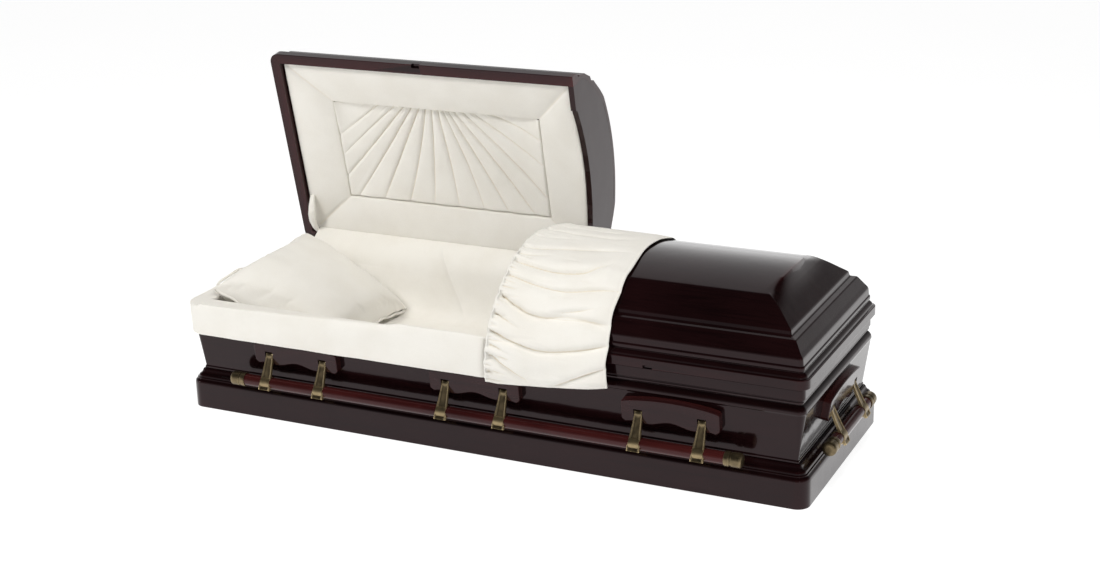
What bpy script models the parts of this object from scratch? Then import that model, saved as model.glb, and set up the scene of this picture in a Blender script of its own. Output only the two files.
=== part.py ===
"""Half-couch funeral casket of lacquered hardwood, with the head lid open.

Metres, +Z up. X runs along the casket with the foot at +X, and -Y is the front,
where the lids open. The origin is the centre of the underside.
Most mouldings are given as points (inset, z): inset is measured inwards from the
outer face of the base, and is the same on all four sides, so corners are mitred.
"""
import math

import bmesh
import bpy
from mathutils import Matrix, Vector

# Overall plan
LENGTH = 2.13
WIDTH = 0.7355
PLAN_CORNER_R = 0.04
LEAST_CORNER_R = 0.004
CORNER_STEPS = 3
HALF_LENGTH = LENGTH / 2
HALF_WIDTH = WIDTH / 2

# Clearances
FIT_GAP = 0.0003
LINING_GAP = 0.003
CLOTH_GAP = 0.0015

# Base moulding and bottom board
PLINTH_FACE_H = 0.085
PLINTH_H = 0.128
PLINTH_INNER = 0.050
BOARD_T = 0.018

# Body walls
BODY_BOTTOM = PLINTH_H + FIT_GAP
BODY_TOP = 0.3615
BODY_INNER = 0.052
PANEL_LOW = (0.039, PLINTH_H + 0.010)
PANEL_HIGH = (0.018, BODY_TOP - 0.0785)
BAND_INSET = 0.0205

# Lids
LID_GAP = 0.004
LID_BOTTOM = BODY_TOP + LID_GAP
RIM_OUTER = 0.007
RIM_INNER = 0.041
RIM_H = 0.030
LID_WALL = 0.015
CREST_INSET = 0.187
CREST_Z = LID_BOTTOM + 0.220
CROWN_RISE = 0.0275
CROWN_END_BOW = 0.024
CROWN_STEPS = 8
SPLIT_X = 0.087
SPLIT_GAP = 0.004
HEAD_CUT_X = SPLIT_X - SPLIT_GAP / 2
FOOT_CUT_X = SPLIT_X + SPLIT_GAP / 2
HEAD_LID_OPEN_DEG = 78
LATCH_NOTCH = (0.030, 0.012, 0.010)

# Lid end boards
HEADER_T = 0.019
HEADER_FOOT_HALF = HALF_WIDTH - 0.12775
HEADER_STEP = 0.008
HEADER_ARCH_RISE = 0.042
HEADER_ARCH_STEPS = 8

# Hinges
HINGE_Y = HALF_WIDTH - 0.0013
HINGE_Z = BODY_TOP + 0.002
KNUCKLE_R = 0.0045
LEAF_T = 0.002
LEAF_FLANGE_H = 0.022
HINGE_LENGTH = 0.84
KNUCKLE_COUNT = 5
KNUCKLE_GAP = 0.0006
KNUCKLE_SIDES = 8

# Linings and bedding
LINING_T = 0.008
LINING_TOP = BODY_TOP - 0.002
MATTRESS_TOP = PLINTH_H + 0.062
MATTRESS_HEAD_RISE = 0.070
MATTRESS_SLOPE_START = -(HALF_LENGTH - 0.505)
MATTRESS_SLOPE_END = -(HALF_LENGTH - 0.165)
PILLOW_HALF = (0.235, HALF_WIDTH - 0.09775)
PILLOW_HALF_T = 0.050
PILLOW_CENTRE = (-(HALF_LENGTH - 0.293), 0.0, MATTRESS_TOP + 0.125)
PILLOW_TILT_DEG = 19
ROLL_EDGE_DEPTH = 0.020
RECESS_DEPTH = 0.088
ROLL_T = 0.012
SURROUND_INSET = RIM_INNER + LINING_GAP
SURROUND_X = (-(HALF_LENGTH - SURROUND_INSET), HEAD_CUT_X - HEADER_T - FIT_GAP)
SURROUND_Y = (-(HALF_WIDTH - SURROUND_INSET), HALF_WIDTH - SURROUND_INSET)
RECESS_X = (SURROUND_X[0] + 0.131, SURROUND_X[1] - 0.159)
RECESS_Y = (SURROUND_Y[0] + 0.150, SURROUND_Y[1] - 0.128)
PLEAT_COUNT = 13
PLEAT_HEADS_X = (RECESS_X[0] + 0.179, RECESS_X[1] - 0.134)
PLEAT_DEPTH = 0.006
PLEAT_T = 0.005
PLEAT_STEPS = 3
STAY_COVER_L = 0.144
STAY_COVER_W = 0.034

# Cloth over the front ledge
EXTEND_FOOT_X = SPLIT_X - 0.032
EXTEND_BACK_Y = HALF_WIDTH - 0.06775
EXTEND_HEM_Z = BODY_TOP - 0.1045
EXTEND_OUT = 0.0115
EXTEND_TOP_Z = BODY_TOP + 0.0305
LEDGE_CLOTH_T = 0.0025
PLATE_CLEAR_OUT = 0.0065

# Cloth over the foot lid
DRAPE_FOOT_X = FOOT_CUT_X + 0.3535
DRAPE_HEM_Z = (BODY_TOP - 0.0995, BODY_TOP - 0.0835)
DRAPE_OUT = 0.0095
DRAPE_T = 0.005
DRAPE_BACK_Y = HALF_WIDTH - 0.06775
DRAPE_STEPS_X = 5
DRAPE_FOLD_DEPTH = 0.005
DRAPE_FOLD_PITCH = 0.060

# Handles
PLATE_W = 0.310
PLATE_T = 0.025
PLATE_BOTTOM_Z = PLINTH_H + 0.065
PLATE_END_Z = PLATE_BOTTOM_Z + 0.070
PLATE_CREST_Z = PLATE_BOTTOM_Z + 0.0855
PLATE_WAVE = 0.015
PLATE_STEPS = 8
SIDE_ARM_SPREAD = 0.100
END_ARM_SPREAD = 0.110
PIVOT_Z = PLATE_BOTTOM_Z + 0.029
BAR_Z = PLINTH_H + 0.007
BAR_OUT = 0.0172
BAR_R = 0.0195
ROUND_SIDES = 12
KNOB_SIDES = 8
SIDE_BAR_HALF = HALF_LENGTH - 0.185
END_BAR_HALF = HALF_WIDTH - 0.14775
SIDE_PLATES_X = (-(SIDE_BAR_HALF - 0.235), 0.0, SIDE_BAR_HALF - 0.235)
CAP_L = 0.055
CAP_R = 0.0228
CAP_CUP_DEPTH = 0.030
CAP_COLLAR_L = 0.017
CAP_GROOVE = 0.002
ARM_TOP_W = 0.025
ARM_BOTTOM_W = 0.041
ARM_T = 0.011
KNOB_R = 0.0085
EYE_WALL = 0.003
ARM_BOSS = 0.0005
SLOT_CLEAR = 0.0015
SLOT_TOP_Z = PIVOT_Z + 0.014
SLOT_BACK_T = 0.0025

PLINTH_SECTION = [
    (PLINTH_INNER, 0.0),
    (0.003, 0.0),
    (0.0, 0.003),
    (0.0, PLINTH_FACE_H - 0.004),
    (0.002, PLINTH_FACE_H + 0.002),
    (0.007, PLINTH_FACE_H + 0.009),
    (0.0085, PLINTH_FACE_H + 0.015),
    (0.014, PLINTH_FACE_H + 0.017),
    (0.017, PLINTH_FACE_H + 0.024),
    (0.028, PLINTH_FACE_H + 0.034),
    (0.033, PLINTH_H),
    (PLINTH_INNER, PLINTH_H),
]

BODY_SECTION = [
    (BODY_INNER, BODY_BOTTOM),
    (0.0365, BODY_BOTTOM),
    (0.0365, PANEL_LOW[1] - 0.004),
    PANEL_LOW,
    PANEL_HIGH,
    (0.0155, PANEL_HIGH[1] + 0.005),
    (0.0165, PANEL_HIGH[1] + 0.014),
    (0.0225, PANEL_HIGH[1] + 0.023),
    (0.0315, PANEL_HIGH[1] + 0.029),
    (0.0255, PANEL_HIGH[1] + 0.032),
    (0.0240, PANEL_HIGH[1] + 0.037),
    (0.0255, PANEL_HIGH[1] + 0.042),
    (BAND_INSET, PANEL_HIGH[1] + 0.046),
    (BAND_INSET, BODY_TOP - 0.002),
    (BAND_INSET + 0.002, BODY_TOP),
    (BODY_INNER, BODY_TOP),
]

LID_OUTER = [
    (RIM_OUTER + 0.003, LID_BOTTOM),
    (RIM_OUTER, LID_BOTTOM + 0.003),
    (RIM_OUTER, LID_BOTTOM + RIM_H - 0.003),
    (RIM_OUTER + 0.003, LID_BOTTOM + RIM_H),
    (0.0150, LID_BOTTOM + RIM_H + 0.001),
    (0.0185, LID_BOTTOM + RIM_H + 0.008),
    (0.0270, LID_BOTTOM + RIM_H + 0.0165),
    (0.0245, LID_BOTTOM + RIM_H + 0.0215),
    (0.0245, LID_BOTTOM + RIM_H + 0.0305),
    (0.0275, LID_BOTTOM + RIM_H + 0.0345),
    (0.0300, CREST_Z - 0.1335),
    (0.0400, CREST_Z - 0.1215),
    (0.0600, CREST_Z - 0.0915),
    (0.0785, CREST_Z - 0.0855),
    (0.0825, CREST_Z - 0.0705),
    (0.1050, CREST_Z - 0.0525),
    (0.1330, CREST_Z - 0.0295),
    (0.1680, CREST_Z - 0.0055),
]
LID_SLOPE_START = 10

LID_SLOPE = [
    (0.0270, CREST_Z - 0.1555),
    (0.0320, CREST_Z - 0.1325),
    (0.0600, CREST_Z - 0.0975),
    (0.1050, CREST_Z - 0.0565),
    (0.1500, CREST_Z - 0.0205),
]


def corner_radius(inset):
    """Plan radius of a mitred moulding's corner at this inset."""
    return max(PLAN_CORNER_R - inset, LEAST_CORNER_R)


def corner_arc(corner, inset, z):
    """Points round one plan corner: 0 foot front, 1 foot back, 2 head back, 3 head front."""
    radius = corner_radius(inset)
    sign_x = 1 if corner in (0, 1) else -1
    sign_y = 1 if corner in (1, 2) else -1
    centre_x = sign_x * (HALF_LENGTH - inset - radius)
    centre_y = sign_y * (HALF_WIDTH - inset - radius)
    start = math.radians(-90 + 90 * corner)
    points = []
    for step in range(CORNER_STEPS + 1):
        angle = start + math.radians(90) * step / CORNER_STEPS
        points.append(Vector((centre_x + radius * math.cos(angle), centre_y + radius * math.sin(angle), z)))
    return points


def plan_loop(inset, z):
    """A rounded rectangle at one inset and height."""
    return [point for corner in range(4) for point in corner_arc(corner, inset, z)]


def crown_line(drop=0.0):
    """(y, z) points across the barrel-shaped crown from the back edge to the front edge."""
    half = HALF_WIDTH - CREST_INSET - corner_radius(CREST_INSET)
    points = [(HALF_WIDTH - CREST_INSET, CREST_Z - drop)]
    for step in range(CROWN_STEPS + 1):
        share = 1 - 2 * step / CROWN_STEPS
        points.append((share * half, CREST_Z - drop + CROWN_RISE * (1 - share * share)))
    points.append((-(HALF_WIDTH - CREST_INSET), CREST_Z - drop))
    return points


def lid_loop(inset, z, bow=0.0, rise=0.0):
    """A rounded rectangle whose short ends carry extra points, bowed out and raised for the crown."""
    half = HALF_WIDTH - inset - corner_radius(inset)
    arcs = [corner_arc(corner, inset, z) for corner in range(4)]
    points = []
    for end, sign in ((0, 1), (1, -1)):
        points += arcs[2 * end]
        for step in range(1, CROWN_STEPS):
            share = 2 * step / CROWN_STEPS - 1
            lift = 1 - share * share
            x = sign * (HALF_LENGTH - inset + bow * lift)
            points.append(Vector((x, sign * share * half, z + rise * lift)))
        points += arcs[2 * end + 1]
    return points


def offset_line(points, distance):
    """Move an open (inset, z) line sideways by a distance, inwards and down when positive."""
    moved = []
    for index, point in enumerate(points):
        before = Vector(points[max(index - 1, 0)])
        after = Vector(points[min(index + 1, len(points) - 1)])
        along = (after - before).normalized()
        moved.append((point[0] + distance * along.y, point[1] - distance * along.x))
    return moved


def lid_inner_line(gap=0.0):
    """Inner (inset, z) line of the lid, from the rim's underside up to the crown's edge."""
    slope = offset_line(LID_SLOPE, LID_WALL + gap)
    inner_rim = RIM_INNER + gap
    first_z = slope[0][1]
    slope = [(max(inset, inner_rim), z) for inset, z in slope]
    return [(inner_rim, LID_BOTTOM), (inner_rim, first_z - 0.02)] + slope[1:]


def material(name, colour, roughness, metallic=0.0):
    """A plain principled surface."""
    found = bpy.data.materials.get(name)
    if found:
        return found
    made = bpy.data.materials.new(name)
    made.use_nodes = True
    shader = made.node_tree.nodes["Principled BSDF"]
    shader.inputs["Base Color"].default_value = (*colour, 1.0)
    shader.inputs["Roughness"].default_value = roughness
    shader.inputs["Metallic"].default_value = metallic
    return made


def wood():
    return material("mahogany_lacquer", (0.035, 0.010, 0.009), 0.12)


def bronze():
    return material("antique_bronze", (0.36, 0.26, 0.13), 0.32, 1.0)


def hinge_metal():
    return material("hinge_brass", (0.45, 0.33, 0.16), 0.35, 1.0)


def cloth():
    return material("ivory_crepe", (0.88, 0.85, 0.78), 0.85)


def add_object(name, mesh, finish, parent=None, target="parts"):
    """Put a mesh into the scene as a named piece."""
    made = bpy.data.objects.new(name, mesh)
    if finish:
        mesh.materials.append(finish)
    COLLECTIONS[target].objects.link(made)
    made.parent = parent
    return made


def mesh_from(bm, name):
    """Finish a bmesh: faces outwards, smooth where it turns gently."""
    bmesh.ops.recalc_face_normals(bm, faces=bm.faces)
    mesh = bpy.data.meshes.new(name)
    bm.to_mesh(mesh)
    bm.free()
    mesh.shade_smooth()
    mesh.set_sharp_from_angle(angle=math.radians(25))
    return mesh


def strip_faces(bm, row_a, row_b, closed):
    """Quads between two rows of points."""
    count = len(row_a) if closed else len(row_a) - 1
    for index in range(count):
        after = (index + 1) % len(row_a)
        bm.faces.new((row_a[index], row_a[after], row_b[after], row_b[index]))


def loft(name, loops, loop_closed=True, section_closed=True):
    """Mesh through rows of points. Open rows get a flat cap at each end."""
    bm = bmesh.new()
    rows = [[bm.verts.new(point) for point in loop] for loop in loops]
    for index in range(len(rows) if section_closed else len(rows) - 1):
        strip_faces(bm, rows[index], rows[(index + 1) % len(rows)], loop_closed)
    if not loop_closed:
        bm.faces.new([row[0] for row in rows])
        bm.faces.new([row[-1] for row in reversed(rows)])
    return mesh_from(bm, name)


def box_mesh(name, low, high, bevel=0.0):
    """A box between two corners, with its edges bevelled."""
    bm = bmesh.new()
    bmesh.ops.create_cube(bm, size=1.0)
    size = Vector(high) - Vector(low)
    centre = (Vector(high) + Vector(low)) / 2
    bmesh.ops.transform(bm, verts=bm.verts, matrix=Matrix.Translation(centre) @ Matrix.Diagonal((*size, 1.0)))
    if bevel:
        bmesh.ops.bevel(bm, geom=bm.edges[:], offset=bevel, segments=1, affect="EDGES")
    return mesh_from(bm, name)


def cutter(name, mesh, parent=None):
    """A hidden tool body for a cut."""
    made = add_object(name, mesh, None, parent, "cutters")
    made.hide_render = True
    made.display_type = "WIRE"
    return made


def boolean(piece, tool, operation):
    """Cut, keep or join with another object."""
    step = piece.modifiers.new(operation.lower(), "BOOLEAN")
    step.operation = operation
    step.solver = "EXACT"
    step.object = tool


def pivot(name, location, turn_z=0.0, tilt_x=0.0):
    """An empty on a joint's axis, which its moving pieces hang from."""
    made = bpy.data.objects.new(name, None)
    made.empty_display_size = 0.05
    made.location = location
    made.rotation_euler = (math.radians(tilt_x), 0.0, math.radians(turn_z))
    COLLECTIONS["parts"].objects.link(made)
    return made


def flat_outline(name, points, thickness, turn):
    """A flat piece from its outline: a filled curve with thickness, turned by a matrix and made a mesh."""
    curve = bpy.data.curves.new(name, "CURVE")
    curve.dimensions = "2D"
    curve.fill_mode = "BOTH"
    curve.extrude = thickness / 2
    spline = curve.splines.new("POLY")
    spline.points.add(len(points) - 1)
    for spot, point in zip(spline.points, points):
        spot.co = (point[0], point[1], 0.0, 1.0)
    spline.use_cyclic_u = True
    holder = bpy.data.objects.new(name + "_outline", curve)
    COLLECTIONS["cutters"].objects.link(holder)
    depsgraph = bpy.context.evaluated_depsgraph_get()
    mesh = bpy.data.meshes.new_from_object(holder.evaluated_get(depsgraph))
    bpy.data.objects.remove(holder)
    bm = bmesh.new()
    bm.from_mesh(mesh)
    bmesh.ops.remove_doubles(bm, verts=bm.verts, dist=0.00001)
    bmesh.ops.transform(bm, verts=bm.verts, matrix=turn)
    return mesh_from(bm, name)


# The case

def build_case():
    """Base moulding, bottom board and the moulded walls."""
    loops = [plan_loop(inset, z) for inset, z in PLINTH_SECTION]
    add_object("base_moulding", loft("base_moulding", loops), wood())
    reach_x = HALF_LENGTH - PLINTH_INNER - FIT_GAP
    reach_y = HALF_WIDTH - PLINTH_INNER - FIT_GAP
    reach = LEAST_CORNER_R
    board = box_mesh("bottom_board", (-reach_x, -reach_y, 0.0), (reach_x, reach_y, BOARD_T))
    bm = bmesh.new()
    bm.from_mesh(board)
    uprights = [edge for edge in bm.edges if abs(edge.verts[0].co.z - edge.verts[1].co.z) > BOARD_T / 2]
    bmesh.ops.bevel(bm, geom=uprights, offset=reach, segments=1, affect="EDGES")
    add_object("bottom_board", mesh_from(bm, "bottom_board"), wood())
    loops = [plan_loop(inset, z) for inset, z in BODY_SECTION]
    add_object("case_walls", loft("case_walls", loops), wood())


# The lids

def lid_shell_mesh(name):
    """The whole lid before it is parted: outer mouldings, crown, inner skin and rim underside."""
    inner = lid_inner_line()
    outer_loops = [lid_loop(inset, z) for inset, z in LID_OUTER]
    outer_loops.append(lid_loop(CREST_INSET, CREST_Z, CROWN_END_BOW, CROWN_RISE))
    inner_loops = [lid_loop(inset, z) for inset, z in inner]
    inner_loops.append(lid_loop(CREST_INSET, CREST_Z - LID_WALL, CROWN_END_BOW, CROWN_RISE))
    bm = bmesh.new()
    outer = [[bm.verts.new(point) for point in loop] for loop in outer_loops]
    inside = [[bm.verts.new(point) for point in loop] for loop in inner_loops]
    for rows in (outer, inside):
        for lower, upper in zip(rows, rows[1:]):
            strip_faces(bm, lower, upper, True)
        top = rows[-1]
        half = len(top) // 2
        foot_end = top[:half]
        head_end = top[half:][::-1]
        strip_faces(bm, foot_end, head_end, False)
    strip_faces(bm, outer[0], inside[0], True)
    return mesh_from(bm, name)


def header_mesh(name, x_from):
    """The board that closes a lid's cut end, on two feet with a shallow arch between them."""
    gap = FIT_GAP
    side = [(HALF_WIDTH - inset, z) for inset, z in lid_inner_line(gap)]
    crest = crown_line(LID_WALL + gap)
    arch = []
    for step in range(HEADER_ARCH_STEPS + 1):
        share = 2 * step / HEADER_ARCH_STEPS - 1
        lift = HEADER_STEP + HEADER_ARCH_RISE * (1 - share * share)
        arch.append((HEADER_FOOT_HALF * share, LID_BOTTOM + lift))
    foot = [(-HEADER_FOOT_HALF - 0.002, LID_BOTTOM)]
    other_foot = [(HEADER_FOOT_HALF + 0.002, LID_BOTTOM)]
    mirrored = [(-y, z) for y, z in reversed(side)]
    outline = side + crest + mirrored + foot + arch + other_foot
    turn = Matrix(((0, 0, 1, x_from + HEADER_T / 2), (1, 0, 0, 0), (0, 1, 0, 0), (0, 0, 0, 1)))
    return flat_outline(name, outline, HEADER_T, turn)


def shift_to_pivot(mesh):
    """Move a mesh drawn in the closed position so that its origin is the hinge line."""
    mesh.transform(Matrix.Translation((0.0, -HINGE_Y, -HINGE_Z)))
    return mesh


def build_lid(side, hinge):
    """One lid shell with its end board, hanging from its hinge line."""
    sign = -1 if side == "head" else 1
    cut_x = HEAD_CUT_X if side == "head" else FOOT_CUT_X
    far_x = sign * (HALF_LENGTH + 0.1)
    shell = add_object(side + "_lid", shift_to_pivot(lid_shell_mesh(side + "_lid")), wood(), hinge)
    low = (min(cut_x, far_x), -WIDTH, 0.0)
    high = (max(cut_x, far_x), WIDTH, 1.0)
    keep = cutter(side + "_lid_half", shift_to_pivot(box_mesh(side + "_lid_half", low, high)), hinge)
    boolean(shell, keep, "INTERSECT")
    middle = (cut_x + sign * (HALF_LENGTH - RIM_OUTER)) / 2
    long, deep, tall = LATCH_NOTCH
    front = -HALF_WIDTH + RIM_OUTER
    low = (middle - long / 2, front - deep, LID_BOTTOM - tall)
    high = (middle + long / 2, front + deep, LID_BOTTOM + tall)
    notch = cutter(side + "_latch_notch", shift_to_pivot(box_mesh(side + "_latch_notch", low, high)), hinge)
    boolean(shell, notch, "DIFFERENCE")
    board_x = cut_x - HEADER_T if side == "head" else cut_x
    add_object(side + "_lid_end_board", shift_to_pivot(header_mesh(side + "_header", board_x)), wood(), hinge)


def leaf_mesh(name, lid_side, middle):
    """One leaf of a long hinge: a flange bent to the knuckle line, with its share of the knuckles."""
    rim_back = HALF_WIDTH - RIM_OUTER + FIT_GAP
    wall_back = HALF_WIDTH - BAND_INSET + FIT_GAP
    if lid_side:
        outline = [
            (rim_back, LID_BOTTOM + LEAF_FLANGE_H),
            (rim_back, HINGE_Z),
            (rim_back + LEAF_T, HINGE_Z),
            (rim_back + LEAF_T, LID_BOTTOM + LEAF_FLANGE_H),
        ]
    else:
        web_top = HINGE_Z - KNUCKLE_R / 2 - FIT_GAP
        outline = [
            (wall_back, web_top - LEAF_FLANGE_H),
            (wall_back + LEAF_T, web_top - LEAF_FLANGE_H),
            (wall_back + LEAF_T, web_top - LEAF_T),
            (HINGE_Y, web_top - LEAF_T),
            (HINGE_Y, web_top),
            (wall_back, web_top),
        ]
    turn = Matrix(((0, 0, 1, middle), (1, 0, 0, 0), (0, 1, 0, 0), (0, 0, 0, 1)))
    return flat_outline(name, outline, HINGE_LENGTH, turn)


def build_hinge(side, hinge):
    """A long hinge with interleaved knuckles behind one lid."""
    sign = -1 if side == "head" else 1
    cut_x = HEAD_CUT_X if side == "head" else FOOT_CUT_X
    middle = (cut_x + sign * (HALF_LENGTH - RIM_OUTER)) / 2
    pitch = HINGE_LENGTH / KNUCKLE_COUNT
    for lid_side in (True, False):
        name = side + ("_hinge_lid_leaf" if lid_side else "_hinge_case_leaf")
        mesh = leaf_mesh(name, lid_side, middle)
        holder = hinge if lid_side else None
        if lid_side:
            shift_to_pivot(mesh)
        leaf = add_object(name, mesh, hinge_metal(), holder)
        for index in range(KNUCKLE_COUNT):
            x = middle + (index - (KNUCKLE_COUNT - 1) / 2) * pitch
            along = Matrix.Rotation(math.radians(90), 4, "Y")
            own = (index % 2 == 1) == lid_side
            grow = 0.0 if own else KNUCKLE_GAP
            bm = bmesh.new()
            bmesh.ops.create_cone(
                bm, cap_ends=True, segments=KNUCKLE_SIDES, radius1=KNUCKLE_R + grow, radius2=KNUCKLE_R + grow,
                depth=pitch - KNUCKLE_GAP + 2 * grow)
            spot = Matrix.Translation((x, HINGE_Y, HINGE_Z)) @ along
            bmesh.ops.transform(bm, verts=bm.verts, matrix=spot)
            tool_mesh = mesh_from(bm, name + "_knuckle")
            if lid_side:
                shift_to_pivot(tool_mesh)
            tool = cutter(f"{name}_knuckle_{index}", tool_mesh, holder)
            boolean(leaf, tool, "UNION" if own else "DIFFERENCE")


# Linings and bedding

def build_bedding():
    """Lining of the case, the bed with its raised head, and the pillow."""
    outer = BODY_INNER + FIT_GAP
    inner = outer + LINING_T
    section = [
        (inner, PLINTH_H + 0.002),
        (outer, PLINTH_H + 0.002),
        (outer, LINING_TOP),
        (outer + LINING_T / 2, LINING_TOP + 0.0015),
        (inner, LINING_TOP - 0.002),
        (inner + 0.003, lerp(PLINTH_H, LINING_TOP, 0.5)),
    ]
    add_object("case_lining", loft("case_lining", [plan_loop(i, z) for i, z in section]), cloth())
    edge = inner + LINING_GAP + 0.002
    reach_x = HALF_LENGTH - edge
    reach_y = HALF_WIDTH - edge
    low_z = BOARD_T + FIT_GAP
    high_z = MATTRESS_TOP + MATTRESS_HEAD_RISE
    outline = [
        (-reach_x, low_z), (reach_x, low_z), (reach_x, MATTRESS_TOP),
        (MATTRESS_SLOPE_START, MATTRESS_TOP), (MATTRESS_SLOPE_END, high_z), (-reach_x, high_z),
    ]
    turn = Matrix(((1, 0, 0, 0), (0, 0, -1, 0), (0, 1, 0, 0), (0, 0, 0, 1)))
    mesh = flat_outline("mattress", outline, 2 * reach_y, turn)
    bed = add_object("mattress", mesh, cloth())
    rounding = bed.modifiers.new("soft edges", "BEVEL")
    rounding.width = 0.012
    rounding.segments = 2
    rounding.limit_method = "ANGLE"
    rounding.angle_limit = math.radians(40)
    build_pillow()


def build_pillow():
    """A crowned cushion with thin edges, from a coarse cage, tilted up at the head."""
    cuts = 4
    bm = bmesh.new()
    bmesh.ops.create_grid(bm, x_segments=cuts + 1, y_segments=cuts + 1, size=1.0)
    top = bm.verts[:]
    lower = {}
    for vert in top:
        u, v = vert.co.x, vert.co.y
        fullness = max(0.0, (1 - u ** 4) * (1 - v ** 4)) ** 0.5
        pull = 1 - 0.05 * (1 - fullness) * (1 - abs(u) ** 2 * abs(v) ** 2)
        vert.co = (u * PILLOW_HALF[0] * pull, v * PILLOW_HALF[1] * pull, 0.006 + PILLOW_HALF_T * fullness)
        lower[vert] = bm.verts.new((vert.co.x, vert.co.y, -0.006 - 0.7 * PILLOW_HALF_T * fullness))
    for face in bm.faces[:]:
        bm.faces.new([lower[vert] for vert in reversed(face.verts)])
    for edge in [edge for edge in bm.edges if edge.is_boundary and edge.verts[0] in lower]:
        first, second = edge.verts
        bm.faces.new((first, second, lower[second], lower[first]))
    pillow = add_object("pillow", mesh_from(bm, "pillow"), cloth())
    pillow.location = PILLOW_CENTRE
    pillow.rotation_euler = (0.0, math.radians(PILLOW_TILT_DEG), 0.0)
    smooth = pillow.modifiers.new("soft form", "SUBSURF")
    smooth.levels = 1
    smooth.render_levels = 1


def lerp(start, end, share):
    return start + (end - start) * share


def roll_loop(share, depth, arch_share):
    """A rectangle between the lining's outer edge (share 0) and the recess (share 1)."""
    low_x = lerp(SURROUND_X[0], RECESS_X[0], share)
    high_x = lerp(SURROUND_X[1], RECESS_X[1], share)
    low_y = lerp(SURROUND_Y[0], RECESS_Y[0], share)
    high_y = lerp(SURROUND_Y[1], RECESS_Y[1], share)
    steps = 6
    z = LID_BOTTOM + depth
    points = []
    for step in range(steps):
        points.append(Vector((lerp(low_x, high_x, step / steps), low_y, z)))
    for step in range(steps):
        lift = arch_share * HEADER_ARCH_RISE * (1 - (2 * step / steps - 1) ** 2)
        points.append(Vector((high_x, lerp(low_y, high_y, step / steps), z + lift)))
    for step in range(steps):
        points.append(Vector((lerp(high_x, low_x, step / steps), high_y, z)))
    for step in range(steps):
        points.append(Vector((low_x, lerp(high_y, low_y, step / steps), z)))
    return points


def pleat_foot(place):
    """A point on the recess's left side, bottom or right side, for a place from 0 to 1."""
    low_x, high_x = RECESS_X
    top_y, bottom_y = RECESS_Y
    height = bottom_y - top_y
    run = 2 * height + (high_x - low_x)
    travel = place * run
    if travel < height:
        return low_x, top_y + travel
    if travel > run - height:
        return high_x, bottom_y - (travel - (run - height))
    return low_x + travel - height, bottom_y


def build_head_lining(hinge):
    """Padded surround, sunburst panel and the cloth cover of the lid stay."""
    section = [
        (0.0, ROLL_EDGE_DEPTH, 1.0),
        (0.35, ROLL_EDGE_DEPTH + 0.012, 0.7),
        (0.80, RECESS_DEPTH - 0.026, 0.2),
        (1.0, RECESS_DEPTH, 0.0),
        (1.0, RECESS_DEPTH + ROLL_T, 0.0),
        (0.45, RECESS_DEPTH - 0.012, 0.0),
        (0.0, ROLL_EDGE_DEPTH + ROLL_T, 1.0),
    ]
    loops = [roll_loop(*values) for values in section]
    mesh = shift_to_pivot(loft("head_lid_surround", loops))
    add_object("head_lid_surround", mesh, cloth(), hinge)
    inset = LINING_GAP
    lines = 2 * PLEAT_COUNT + 1
    rows = []
    for index in range(lines):
        place = index / (lines - 1)
        head_x = lerp(PLEAT_HEADS_X[0], PLEAT_HEADS_X[1], place)
        foot_x, foot_y = pleat_foot(place)
        ridge = PLEAT_DEPTH if index % 2 else 0.0
        row = []
        for step in range(PLEAT_STEPS + 1):
            share = step / PLEAT_STEPS
            x = lerp(head_x, foot_x, share)
            y = lerp(RECESS_Y[0], foot_y, share)
            x = min(max(x, RECESS_X[0] + inset), RECESS_X[1] - inset)
            y = min(max(y, RECESS_Y[0] + inset), RECESS_Y[1] - inset)
            lift = ridge * (1 - 0.5 * share) * (1 if 0 < index < lines - 1 else 0)
            row.append(Vector((x, y, LID_BOTTOM + RECESS_DEPTH + 0.003 - lift)))
        rows.append(row)
    rows[0] = [Vector((point.x, RECESS_Y[0] + inset, point.z)) for point in rows[0]]
    bm = bmesh.new()
    face_rows = [[bm.verts.new(point) for point in row] for row in rows]
    for row_a, row_b in zip(face_rows, face_rows[1:]):
        strip_faces(bm, row_a, row_b, False)
    bmesh.ops.remove_doubles(bm, verts=bm.verts, dist=0.0001)
    bmesh.ops.dissolve_degenerate(bm, edges=bm.edges, dist=0.0001)
    panel = add_object("head_lid_sunburst", shift_to_pivot(mesh_from(bm, "head_lid_sunburst")), cloth(), hinge)
    back = panel.modifiers.new("backing", "SOLIDIFY")
    back.thickness = PLEAT_T
    back.offset = -1.0
    low = (SURROUND_X[0], SURROUND_Y[1] - STAY_COVER_L, LID_BOTTOM + 0.001)
    high = (SURROUND_X[0] + STAY_COVER_W, SURROUND_Y[1], LID_BOTTOM + ROLL_EDGE_DEPTH - 0.003)
    mesh = shift_to_pivot(box_mesh("lid_stay_cover", low, high, 0.004))
    add_object("lid_stay_cover", mesh, cloth(), hinge)


def build_foot_lining(hinge):
    """The foot lid's plain cloth panel."""
    edge = RIM_INNER + LINING_GAP
    low = (FOOT_CUT_X + HEADER_T + LINING_GAP, -(HALF_WIDTH - edge), LID_BOTTOM + 0.010)
    high = (HALF_LENGTH - edge, HALF_WIDTH - edge, LID_BOTTOM + 0.024)
    mesh = shift_to_pivot(box_mesh("foot_lid_lining", low, high, 0.005))
    add_object("foot_lid_lining", mesh, cloth(), hinge)


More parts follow.
